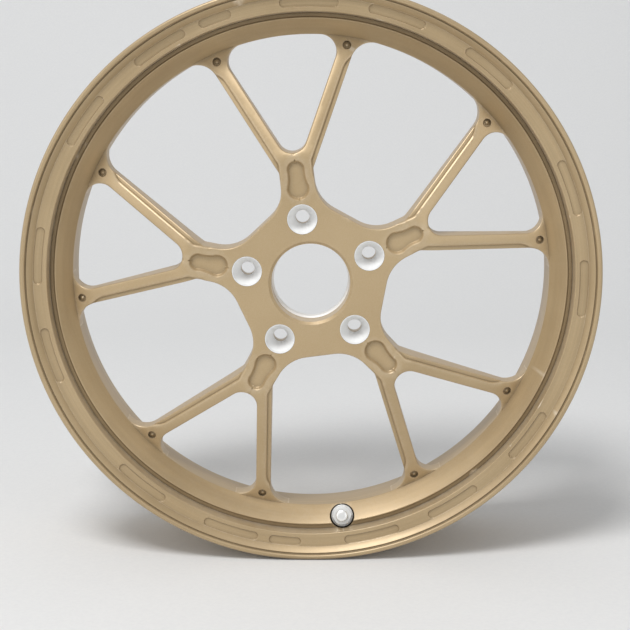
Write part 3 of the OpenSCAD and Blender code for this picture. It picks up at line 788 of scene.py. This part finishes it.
# %% Cutting the seat
CUTTER_TOP = 40.0
cutter_profile = np.array([[0, CUTTER_TOP], [VALVE_POCKET_R, CUTTER_TOP], [VALVE_POCKET_R, 0],
                           [VALVE_HOLE_R, 0], [VALVE_HOLE_R, -GRIP - 4], [0, -GRIP - 4]])
cutter_points, cutter_faces = turned_grid(cutter_profile, 96)
cutter_mesh = bpy.data.meshes.new("valve_cutter")
cutter_mesh.from_pydata(upright(placed(cutter_points, VALVE_AT, VALVE_TILT)).tolist(), [],
                        [f for faces in cutter_faces for f in faces.tolist()])
cutter = in_scene("valve_cutter", cutter_mesh)


def cut(piece, tool):
    """Take a tool's volume away from a piece, and keep the result as the piece's own mesh."""
    step = piece.modifiers.new("cut", "BOOLEAN")
    step.operation, step.solver, step.object = "DIFFERENCE", "EXACT", tool
    made = bpy.data.meshes.new_from_object(piece.evaluated_get(bpy.context.evaluated_depsgraph_get()))
    piece.modifiers.clear()
    made.name = piece.name
    piece.data = made
    made.set_sharp_from_angle(angle=np.radians(32))
    print(piece.name, "cut:", len(made.polygons), "faces")


cut(rim, cutter)
cut(band, cutter)
bpy.data.objects.remove(cutter)

# %% [markdown]
# ## Fittings
#
# Lug seats, the centring ring, washers, stem and cap are turned parts: one closed profile each.
# A cylinder with a Bevel modifier would do for the plainest, but a profile holds the real cone of
# a lug seat and the dome of the cap, and every edge gets its own small rounding, which is what
# catches the light on machined metal. Each piece also carries coordinates that follow the
# turning, for the tool marks in its material.

# %% One function for them all
NO_SHIFT = np.zeros(3)
OUTER_WALL_R = 3


def fitting(name, corners, slot, origin=NO_SHIFT, body="wheel", tilt=0.0, arm=0, sides=72, spread=None,
            fine=None):
    """Turn a profile of [radius, height, rounding] corners about its axis, in the node's place.

    Between the two heights of fine = (low, high, step) its outer walls get a point every step.
    """
    on_axis = corners[0][0] == 0 and corners[-1][0] == 0
    profile = rounded(corners, 18, not on_axis)
    if fine is not None:
        low, high, step = fine
        loop = profile if on_axis else np.vstack([profile, profile[:1]])
        rows = []
        for a, b in zip(loop[:-1], loop[1:]):
            outer_wall = a[0] == b[0] > OUTER_WALL_R and min(a[1], b[1]) < high and max(a[1], b[1]) > low
            count = max(1, int(abs(b[1] - a[1]) / step)) if outer_wall else 1
            rows.append(np.linspace(a, b, count, endpoint=False))
        profile = np.vstack(rows + ([loop[-1:]] if on_axis else []))
    points, faces = turned_grid(profile, sides, spread)
    return add_piece(name + "_skin", upright(placed(points, origin, tilt, arm)), faces, body, (name,),
                     lathe=lathe_coords(points))


# %% Lug seats and centring ring
lug_l = seat_high[1] - seat_low[1]
lug_out_r = LUG_MOUTH_R - SKIN
lug_in_r = LUG_MOUTH_R - 0.6
CONE_TOP = -5
cone_foot = CONE_TOP - (lug_in_r - STUD_R) / np.tan(np.radians(30))
lug_corners = [[lug_in_r, 0, 0.25], [lug_out_r, 0, 0.15], [lug_out_r, -lug_l, 0.4], [STUD_R, -lug_l, 0.3],
               [STUD_R, cone_foot, 0.5], [lug_in_r, CONE_TOP, 1.0]]
for k in range(5):
    fitting(f"lug_seat_{k + 1}", lug_corners, "bare", np.array([0, LUG_R, HUB_FACE]), arm=k, sides=96)

SPIGOT_R = 33.55
LEAD_IN = 1.2
ring_top = -node_box("centring_ring")[0][1]
ring_corners = [[SPIGOT_R, OFFSET, 0], [SPIGOT_R, ring_top - LEAD_IN, 0], [SPIGOT_R + LEAD_IN, ring_top, 0],
                [RING_R - SKIN, ring_top, 0.3], [RING_R - SKIN, OFFSET, 0.3]]
fitting("centring_ring", ring_corners, "bare", sides=120)

# %% [markdown]
# ## The valve
#
# A clamp-in valve is a threaded stem with a head on the tyre side, a rubber seal under the head, a
# rubber and a steel washer in the dish, and a nut that pulls them together. The cap screws over
# the tip. Thread and knurl are waves added to the radius: one turn of the thread climbs one pitch,
# and the knurl is a cosine of the angle. The nut is a hexagon cut back by a cone: the smaller of
# the two radii wins at every angle.

# %% Valve sizes
STEM_R = 4.1
HEAD_R = 7.1
HEAD_T = 2.5
SEAL_R = 7.5
SEAL_T = 3.0
AIR_R = 2.0
CORE_R = 2.5
TIP_R = 3.85
WASHER_R = 11.0
NUT_AF = 16.2
PLATE_R = NUT_AF / 2 + 2
NUT_BASE = 2.8
NUT_TOP = 8.3
TIP_BASE = 10.0
CAP_BASE = 10.3
STEM_TOP = 17.5
CAP_TOP = 19.7
CAP_R = 5.4
CAP_SHOULDER = 17.3
CAP_IN_R = TIP_R + 0.08
CAP_FLOOR = STEM_TOP + 0.8
PITCH = 0.79375
THREAD_DEPTH = 0.34
FLUTES = 28
FLUTE_DEPTH = 0.28
at_valve = dict(origin=VALVE_AT, tilt=VALVE_TILT)


def thread(angles, profile):
    """A thread: the radius falls in a cosine of height over pitch less turns."""
    r, z = profile[..., 0], profile[..., 1]
    cut_here = (r > TIP_R - 0.45) & (r < STEM_R + 0.1) & (z > NUT_TOP - 3) & (z < STEM_TOP - 0.6)
    return -THREAD_DEPTH / 2 * cut_here * (1 + np.cos(2 * np.pi * (z / PITCH - angles / (2 * np.pi))))


def knurl(angles, profile):
    """A knurl: shallow flutes down the cap's skirt, fading out at both ends."""
    r, z = profile[..., 0], profile[..., 1]
    low_end = smooth_step(CAP_BASE + 0.6, CAP_BASE + 1.3, z)
    high_end = smooth_step(-CAP_SHOULDER - 0.1, -CAP_SHOULDER + 0.7, -z)
    skirt = (r > CAP_R - 0.01) * low_end * high_end
    return -FLUTE_DEPTH / 2 * skirt * (1 - np.cos(FLUTES * angles))


# %% Stem, seal and washers
head_z = -GRIP - SEAL_T
stem_corners = [
    [AIR_R, head_z - HEAD_T, 0.3], [HEAD_R, head_z - HEAD_T, 0.8], [HEAD_R, head_z, 0.2], [STEM_R, head_z, 0],
    [STEM_R, TIP_BASE, 0], [TIP_R, CAP_BASE, 0], [TIP_R, STEM_TOP - 0.5, 0], [TIP_R - 0.5, STEM_TOP, 0],
    [CORE_R, STEM_TOP, 0.1], [CORE_R, STEM_TOP - 6.6, 0], [AIR_R, STEM_TOP - 7.2, 0]]
fitting("valve_stem", stem_corners, "steel", sides=96, spread=thread, fine=(5, STEM_TOP, 0.08), **at_valve)

seal_corners = [[STEM_R, head_z, 0], [SEAL_R, head_z, 0.5], [SEAL_R, -GRIP, 0.3],
                [VALVE_HOLE_R - 0.05, -GRIP, 0.3], [VALVE_HOLE_R - 0.25, -2, 0.4], [STEM_R, -2, 0]]
fitting("valve_inner_seal", seal_corners, "rubber", **at_valve)

rubber_corners = [[STEM_R, 0, 0], [WASHER_R, 0, 0.4], [WASHER_R, WASHER_T, 0.5], [STEM_R, WASHER_T, 0]]
fitting("valve_rubber_washer", rubber_corners, "rubber", sides=96, **at_valve)

plate_corners = [[STEM_R, WASHER_T, 0], [PLATE_R, WASHER_T, 0.25], [PLATE_R, NUT_BASE, 0.35],
                 [STEM_R, NUT_BASE, 0]]
fitting("valve_plate_washer", plate_corners, "steel", sides=96, **at_valve)

# %% Cap
cap_corners = [
    [0, CAP_TOP, 0], [3.2, CAP_TOP - 0.12, 3], [CAP_R - 0.35, CAP_TOP - 0.9, 1.0], [CAP_R, CAP_SHOULDER, 0.8],
    [CAP_R, CAP_BASE + 0.5, 0.2], [CAP_R - 0.3, CAP_BASE, 0.2], [CAP_IN_R, CAP_BASE, 0.1],
    [CAP_IN_R, CAP_FLOOR, 0.3], [0, CAP_FLOOR, 0]]
fitting("valve_cap", cap_corners, "steel", body="cap", sides=168, spread=knurl,
        fine=(CAP_BASE, CAP_SHOULDER + 0.1, 0.3), **at_valve)

# %% Nut
NUT_SIDES = 144
nut_angles = np.linspace(0, 2 * np.pi, NUT_SIDES, endpoint=False)
nut_hex = NUT_AF / 2 / np.cos((nut_angles + np.radians(30)) % np.radians(60) - np.radians(30))
crown = np.minimum(nut_hex, NUT_AF / 2 + 0.3)
past_crown = nut_hex - crown
nut_rows = [
    (STEM_R, NUT_BASE), (STEM_R, NUT_TOP - 0.4), (STEM_R + 0.4, NUT_TOP), (crown - 0.3, NUT_TOP),
    (crown - 0.09, NUT_TOP - 0.06), (nut_hex - 0.03, NUT_TOP - 0.2 - past_crown),
    (nut_hex, NUT_TOP - 0.35 - past_crown), (nut_hex, NUT_BASE + 0.2), (nut_hex - 0.2, NUT_BASE)]
nut_r, nut_z = (np.column_stack([np.broadcast_to(row[k], NUT_SIDES) for row in nut_rows]) for k in (0, 1))
nut_points = carried_round(nut_r, nut_z, nut_angles)
nut_quads = facing_out(nut_points, grid_faces(NUT_SIDES, len(nut_rows)))
add_piece("valve_nut_skin", upright(placed(nut_points, VALVE_AT, VALVE_TILT)), [nut_quads], "wheel",
          ("valve_nut",), lathe=lathe_coords(nut_points))

# %% [markdown]
# ### The core's spring
#
# Deep in the stem a coil spring holds the pin shut. The engineering model already has its wire,
# so its own skin is taken over as a new piece with a mesh of its own, and the valve's axis is
# worked out as a direction.

# %% Spring
coil_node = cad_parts["core_spring"]
coil_points = np.empty(len(coil_node.data.vertices) * 3)
coil_node.data.vertices.foreach_get("co", coil_points)
stand = np.array(coil_node.matrix_world)
coil_points = coil_points.reshape(-1, 3) @ stand[:3, :3].T + stand[:3, 3]
coil_faces = np.empty(len(coil_node.data.loops), np.int32)
coil_node.data.loops.foreach_get("vertex_index", coil_faces)
coil = add_piece("spring_coil", coil_points, [coil_faces.reshape(-1, 3)], "wheel", ("core_spring",),
                 weld=0.001 / MM)
valve_axis = upright(placed(np.array([[0, 0, -MM], [0, 0, 0]]), NO_SHIFT, VALVE_TILT)).astype(float)
valve_axis = valve_axis[0] - valve_axis[1]
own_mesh(coil)

# %% [markdown]
# ## Materials
#
# The wheel is satin bronze paint over aluminium, with bare machined metal where the nuts and the
# hub seat. What the finishes share is kept in small node groups that put out masks and heights:
# paint grain, rings left by turning, edges lightened as wear and painted highlight, painted shade
# in corners, and settled dust. Each material mixes those into its own colour, roughness and bump.
# An image of paint would be quicker, but noise in object coordinates keeps its true scale at any distance.

# %% Node helpers
def node(tree, kind, inputs=None, **settings):
    """Add a node, set its properties, and fill its inputs with values or links by name or number."""
    made = tree.nodes.new("ShaderNode" + kind)
    for key, value in settings.items():
        setattr(made, key, value)
    for key, value in (inputs or {}).items():
        if isinstance(value, bpy.types.NodeSocket):
            tree.links.new(value, made.inputs[key])
        else:
            made.inputs[key].default_value = value
    return made


def math(tree, operation, a, b):
    """One Math node's result."""
    return node(tree, "Math", {0: a, 1: b}, operation=operation).outputs[0]


def times(tree, a, b):
    """The product of two values."""
    return math(tree, "MULTIPLY", a, b)


def noise(tree, place, scale, detail, roughness=0.5):
    """One Noise node's grey value."""
    return node(tree, "TexNoise", {"Vector": place, "Scale": scale, "Detail": detail,
                                   "Roughness": roughness}).outputs[0]


def fitted(tree, value, low, high, out_low=0.0, out_high=1.0):
    """A value from low to high carried to out_low to out_high, and held there."""
    return node(tree, "MapRange", {"Value": value, "From Min": low, "From Max": high,
                                   "To Min": out_low, "To Max": out_high}).outputs["Result"]


def group(name, inputs, outputs):
    """An empty node group with named inputs [(name, kind, default)] and outputs [(name, kind)]."""
    tree = bpy.data.node_groups.new(name, "ShaderNodeTree")
    for label, kind, default in inputs:
        made = tree.interface.new_socket(label, in_out="INPUT", socket_type="NodeSocket" + kind)
        if default is not None:
            made.default_value = default
    for label, kind in outputs:
        tree.interface.new_socket(label, in_out="OUTPUT", socket_type="NodeSocket" + kind)
    return tree, tree.nodes.new("NodeGroupInput").outputs, tree.nodes.new("NodeGroupOutput").inputs


def grouped(tree, source, inputs):
    """Use a node group inside a material."""
    return node(tree, "Group", inputs, node_tree=source).outputs


def put_out(tree, outputs, **values):
    """Wire a group's results to its outputs by name."""
    for label, value in values.items():
        tree.links.new(value, outputs[label])


# %% Paint grain: metallic flake and the soft waves of a sprayed coat
grain_tree, g_in, g_out = group(
    "Sprayed Coat",
    [("Vector", "Vector", None), ("Flake Size", "Float", 0.0005), ("Wave Size", "Float", 0.0022)],
    [("Flake", "Float"), ("Height", "Float"), ("Drift", "Float")])
per_flake = math(grain_tree, "DIVIDE", 1.0, g_in["Flake Size"])
per_wave = math(grain_tree, "DIVIDE", 1.0, g_in["Wave Size"])
flake = node(grain_tree, "TexVoronoi", {"Vector": g_in["Vector"], "Scale": per_flake})
flake_value = node(grain_tree, "SeparateColor", {0: flake.outputs["Color"]}).outputs[0]
waves = noise(grain_tree, g_in["Vector"], per_wave, 2.0, 0.4)
drift = noise(grain_tree, g_in["Vector"], 9.0, 3.0, 0.6)
put_out(grain_tree, g_out, Flake=flake_value, Height=waves, Drift=fitted(grain_tree, drift, 0.32, 0.68))

# %% Turning rings: noise of the distance from the wheel's axis, and hardly any along the ring
ring_tree, r_in, r_out = group("Turning Rings", [("Vector", "Vector", None), ("Ring Pitch", "Float", 0.0022)],
                               [("Ring", "Float"), ("Height", "Float")])
from_axis = node(ring_tree, "VectorMath", {0: r_in["Vector"], 1: (1, 0, 1)}, operation="MULTIPLY").outputs[0]
radius = node(ring_tree, "VectorMath", {0: from_axis}, operation="LENGTH").outputs["Value"]
around = node(ring_tree, "VectorMath", {0: from_axis}, operation="NORMALIZE").outputs[0]
around = node(ring_tree, "SeparateXYZ", {0: around}).outputs
height = node(ring_tree, "SeparateXYZ", {0: r_in["Vector"]}).outputs[1]
across_rings = math(ring_tree, "DIVIDE", math(ring_tree, "ADD", radius, times(ring_tree, height, 0.6)),
                    r_in["Ring Pitch"])
ring_place = node(ring_tree, "CombineXYZ", {0: across_rings, 1: times(ring_tree, around[0], 1.5),
                                            2: times(ring_tree, around[2], 1.5)}).outputs[0]
fine_rings = noise(ring_tree, ring_place, 1.0, 3.0, 0.65)
put_out(ring_tree, r_out, Ring=fitted(ring_tree, fine_rings, 0.3, 0.7), Height=fine_rings)

# %% Tool marks on a small turned part, from its own turning coordinates
mark_tree, m_in, m_out = group("Tool Marks", [("Vector", "Vector", None), ("Mark Pitch", "Float", 0.25)],
                               [("Mark", "Float"), ("Height", "Float")])
turning = node(mark_tree, "SeparateXYZ", {0: m_in["Vector"]}).outputs
mark_place = node(mark_tree, "CombineXYZ", {
    0: times(mark_tree, turning[0], 0.8), 1: times(mark_tree, turning[1], 0.8),
    2: math(mark_tree, "DIVIDE", turning[2], m_in["Mark Pitch"])}).outputs[0]
marks = noise(mark_tree, mark_place, 1.0, 3.0, 0.6)
put_out(mark_tree, m_out, Mark=fitted(mark_tree, marks, 0.3, 0.7), Height=marks)

# %% Wear, shade and dust: convex edges lightened as wear and as a painted highlight, painted shade in corners, and dust on what looks up
wear_shade_tree, w_in, w_out = group("Edges and Dust", [("Vector", "Vector", None), ("Reach", "Float", 0.006)],
                               [("Edge", "Float"), ("Corner", "Float"), ("Dust", "Float")])
surface = node(wear_shade_tree, "NewGeometry").outputs
patchy = noise(wear_shade_tree, w_in["Vector"], 160.0, 4.0, 0.7)
# Convex edges lightened: partly real wear, partly a painted highlight standing in for rounded edges catching
# the light.
edge_wear_and_highlight = times(wear_shade_tree, fitted(wear_shade_tree, surface["Pointiness"], 0.515, 0.6),
                   fitted(wear_shade_tree, patchy, 0.35, 0.6, 0.45, 1.0))
# Painted shade: where ambient occlusion finds a recess, the colour is darkened as if shaded.
open_sky = node(wear_shade_tree, "AmbientOcclusion", {"Distance": w_in["Reach"]}, samples=6).outputs["AO"]
painted_shade_value = fitted(wear_shade_tree, open_sky, 0.35, 0.95, 1.0, 0.0)
looks_up = node(wear_shade_tree, "SeparateXYZ", {0: surface["Normal"]}).outputs[2]
dust_value = times(wear_shade_tree, fitted(wear_shade_tree, looks_up, 0.3, 1.0),
                   fitted(wear_shade_tree, patchy, 0.4, 0.7, 0.2, 1.0))
put_out(wear_shade_tree, w_out, Edge=edge_wear_and_highlight, Corner=painted_shade_value, Dust=dust_value)


# %% Mixing helpers and the base of every material
def mix_colour(tree, factor, a, b):
    """Mix two colours by a factor: sockets 6 and 7 are a Mix node's colours."""
    return node(tree, "Mix", {0: factor, 6: a, 7: b}, data_type="RGBA").outputs[2]


def new_material(name, metallic, constants=None):
    """A material with a Principled shader and its object coordinates; constants go on its sockets."""
    material = bpy.data.materials.new(name)
    material.use_nodes = True
    tree = material.node_tree
    shader = tree.nodes["Principled BSDF"]
    shader.inputs["Metallic"].default_value = metallic
    for key, value in (constants or {}).items():
        shader.inputs[key].default_value = value
    return material, tree, shader, node(tree, "TexCoord").outputs["Object"]


def finish_surface(tree, shader, colour, roughness, height, distance, strength=1.0):
    """Wire colour, roughness and a bump of that height in metres into the shader."""
    tree.links.new(colour, shader.inputs["Base Color"])
    tree.links.new(roughness, shader.inputs["Roughness"])
    bump = node(tree, "Bump", {"Height": height, "Distance": distance, "Strength": strength})
    tree.links.new(bump.outputs[0], shader.inputs["Normal"])


# %% [markdown]
# ### Bronze paint
#
# The same coat is on the turned rim and on the forged star. On the rim, faint rings from the
# lathe still show through it; on the star the surface under it is plain. A Metallic value below
# one stands for the clear binder round the flakes.

# %% Bronze paint
BRONZE = (0.465, 0.335, 0.178, 1)
BRONZE_LIGHT = (0.52, 0.385, 0.215, 1)
# Dark bronze for the lathe's rings, and for painted shade in corners and recesses.
BRONZE_RINGS_AND_SHADE = (0.10, 0.07, 0.04, 1)
# Pale bronze for the flakes, and for edges, where it is partly wear and partly a painted highlight.
PALE_FLAKE_WEAR_HIGHLIGHT = (0.78, 0.68, 0.53, 1)
DUST = (0.55, 0.50, 0.43, 1)


def bronze(name, ring_strength):
    """Satin bronze paint, with as much of the lathe's rings as asked for."""
    material, tree, shader, place = new_material(
        name, 0.33, {"Coat Weight": 0.12, "Coat Roughness": 0.28, "Specular IOR Level": 0.5})
    sources = (grain_tree, ring_tree, wear_shade_tree)
    coat, rings, wear_and_shade = (grouped(tree, source, {"Vector": place}) for source in sources)
    colour = mix_colour(tree, coat["Drift"], BRONZE, BRONZE_LIGHT)
    # The dark corner layer is painted shade; the pale edge layer is partly wear and partly a painted
    # highlight.
    layers = ((coat["Flake"], 0.10, PALE_FLAKE_WEAR_HIGHLIGHT), (rings["Ring"], 0.2 * ring_strength, BRONZE_RINGS_AND_SHADE),
              (wear_and_shade["Corner"], 0.8, BRONZE_RINGS_AND_SHADE), (wear_and_shade["Edge"], 0.6, PALE_FLAKE_WEAR_HIGHLIGHT), (wear_and_shade["Dust"], 0.12, DUST))
    for mask, amount, tone in layers:
        colour = mix_colour(tree, times(tree, mask, amount), colour, tone)
    rough = math(tree, "ADD", fitted(tree, coat["Drift"], 0, 1, 0.33, 0.40), times(tree, coat["Flake"], 0.05))
    rough = math(tree, "ADD", rough, times(tree, wear_and_shade["Dust"], 0.08))
    rough = math(tree, "SUBTRACT", rough, times(tree, wear_and_shade["Edge"], 0.06))
    relief = math(tree, "ADD", times(tree, coat["Height"], 0.4), times(tree, rings["Height"], ring_strength))
    finish_surface(tree, shader, colour, rough, relief, 0.00006, 0.6)
    return material


paint_turned = bronze("bronze_turned", 0.9)
paint_forged = bronze("bronze_forged", 0.0)


# %% [markdown]
# ### Bare metal, brass and rubber
#
# Lug seats, the centring ring and the hub's bore are machined bright. Their tool marks are rings
# round their own axis, so they use the turning coordinates that each fitting carries. The bore
# is part of the star, so it takes the wheel's own rings.

# %% Machined metals
def machined(name, colour, dark, rough_low, rough_high, pitch=0.25, from_lathe=True, metallic=1.0):
    """Turned metal: rings in colour, roughness and height, and painted shade, a darker tone where it sits
    deep.

    The rings are pitch millimetres wide, and follow either the part's own axis or the wheel's.
    """
    material, tree, shader, place = new_material(name, metallic)
    if from_lathe:
        own = node(tree, "Attribute", attribute_name="lathe").outputs["Vector"]
        mark, relief = grouped(tree, mark_tree, {"Vector": own, "Mark Pitch": pitch})[:2]
    else:
        mark, relief = grouped(tree, ring_tree, {"Vector": place, "Ring Pitch": pitch / MM})[:2]
    wear_and_shade = grouped(tree, wear_shade_tree, {"Vector": place, "Reach": 0.004})
    coat = grouped(tree, grain_tree, {"Vector": place})
    tone = mix_colour(tree, times(tree, mark, 0.35), colour, dark)
    # Painted shade: the dark tone is laid where ambient occlusion finds a recess.
    tone = mix_colour(tree, times(tree, wear_and_shade["Corner"], 0.35), tone, dark)
    uneven = math(tree, "ADD", times(tree, mark, 0.7), times(tree, coat["Drift"], 0.3))
    rough = fitted(tree, uneven, 0, 1, rough_low, rough_high)
    finish_surface(tree, shader, tone, rough, relief, 0.00004, 0.7)
    return material


bare_turned = machined("bare_aluminium", (0.95, 0.95, 0.94, 1), (0.78, 0.78, 0.78, 1), 0.4, 0.55, 0.3,
                       metallic=0.2)
bare_bore = machined("bare_bore", (0.93, 0.92, 0.90, 1), (0.72, 0.72, 0.72, 1), 0.38, 0.52, 0.7, False, 0.3)
plated = machined("plated_metal", (0.95, 0.95, 0.93, 1), (0.74, 0.73, 0.72, 1), 0.26, 0.40, 0.2, metallic=0.5)
drawn_steel = machined("drawn_steel", (0.62, 0.62, 0.63, 1), (0.35, 0.35, 0.36, 1), 0.28, 0.42, 0.4, False)
brass = machined("brass", (0.78, 0.58, 0.28, 1), (0.42, 0.29, 0.12, 1), 0.24, 0.4, 0.4, False)


# %% Rubber
def rubber_material(name, tone, pale):
    """Moulded rubber: fine pores, a dull bloom in patches, and no metal."""
    material, tree, shader, place = new_material(name, 0.0, {"Specular IOR Level": 0.35})
    pores = noise(tree, place, 2600.0, 3.0)
    bloom = noise(tree, place, 220.0, 4.0, 0.7)
    colour = mix_colour(tree, fitted(tree, bloom, 0.4, 0.75), tone, pale)
    rough = fitted(tree, bloom, 0.3, 0.7, 0.55, 0.78)
    finish_surface(tree, shader, colour, rough, pores, 0.00005, 0.8)
    return material


rubber = rubber_material("black_rubber", (0.03, 0.027, 0.025, 1), (0.085, 0.078, 0.07, 1))

# %% Putting the materials on
for piece, materials in ((rim, [paint_turned]), (band, [paint_turned]), (star, [paint_forged, bare_bore])):
    piece.data.materials.clear()
    for material in materials:
        piece.data.materials.append(material)
finishes = {"lug_seat": bare_turned, "centring_ring": bare_turned, "valve_stem": plated, "valve_nut": plated,
            "valve_plate_washer": plated, "valve_cap": plated, "valve_rubber_washer": rubber,
            "valve_inner_seal": rubber, "spring_coil": drawn_steel}
for key, material in finishes.items():
    for piece in [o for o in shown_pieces() if o.name.startswith(key) and o.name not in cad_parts]:
        piece.data.materials.append(material)
inner_parts = {"valve_cap_liner": rubber, "core_barrel": brass, "core_barrel_seal": rubber, "core_pin": brass,
               "core_cup": rubber}
for name, material in inner_parts.items():
    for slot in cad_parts[name].material_slots:
        slot.material = material
print("materials on:", {o.name: [m.name for m in o.data.materials] for o in (rim, band, star)})

# %% [markdown]
# ## Floor, light and camera
#
# The wheel stands on a pale floor that sweeps up into a backdrop. One soft lamp above and in
# front shapes it, two weaker ones fill the sides, and a pale world gives the metal something to
# reflect.

# %% Floor and backdrop
FLOOR_Z = -FLANGE_R / MM
BACKDROP_Y = 2.2
sweep = rounded([[-3.0, FLOOR_Z, 0], [BACKDROP_Y, FLOOR_Z, 1.2], [BACKDROP_Y, 3.4, 0]], 6, False)
x_lines = np.linspace(-3.5, 3.5, 9)
sweep_shape = (len(x_lines), len(sweep))
sweep_points = np.stack([np.broadcast_to(line, sweep_shape) for line in (x_lines[:, None], *sweep.T)], -1)
floor_mesh = bpy.data.meshes.new("studio_floor")
sweep_faces = grid_faces(*sweep_shape, False, False)
floor_mesh.from_pydata(sweep_points.reshape(-1, 3).tolist(), [], sweep_faces.tolist())
floor_mesh.shade_smooth()
studio_floor = in_scene("studio_floor", floor_mesh)
paper, tree, shader, place = new_material("pale_paper", 0.0)
fibres = noise(tree, place, 300.0, 4.0)
paper_colour = mix_colour(tree, fitted(tree, fibres, 0.3, 0.7), (0.80, 0.80, 0.80, 1), (0.83, 0.83, 0.825, 1))
finish_surface(tree, shader, paper_colour, fitted(tree, fibres, 0.3, 0.7, 0.75, 0.85), fibres, 0.0002, 0.3)
floor_mesh.materials.append(paper)


# %% Lamps and world
def soft_lamp(name, place, size, watts):
    """A square area lamp that looks at the wheel's middle: its -Z axis points back along its place."""
    light = bpy.data.lights.new(name, "AREA")
    light.size, light.energy = size, watts
    lamp = in_scene(name, light)
    lamp.location = place
    lamp.rotation_euler = (-Vector(place)).to_track_quat("-Z", "Y").to_euler()


soft_lamp("key", (-0.93, -1.94, 3.4), 1.24, 96)
soft_lamp("fill", (1.6, -2.0, 0.7), 1.4, 8)
soft_lamp("side", (-2.0, -1.5, 0.8), 1.4, 9)
world = bpy.data.worlds.new("studio")
world.use_nodes = True
background = world.node_tree.nodes["Background"].inputs
background["Color"].default_value = (0.92, 0.94, 0.96, 1)
background["Strength"].default_value = 0.42
bpy.context.scene.world = world
bpy.context.scene.view_settings.view_transform = "Standard"

# %% Camera
camera_data = bpy.data.cameras.new("camera")
camera_data.sensor_width = 36
camera_data.lens = 85.17
camera_data.clip_start = 0.05
camera = in_scene("camera", camera_data)
camera.location = (0.0106, -1.3744, 0.2143)
camera.rotation_euler = (1.3858, 0, 0.0052)
bpy.context.scene.camera = camera
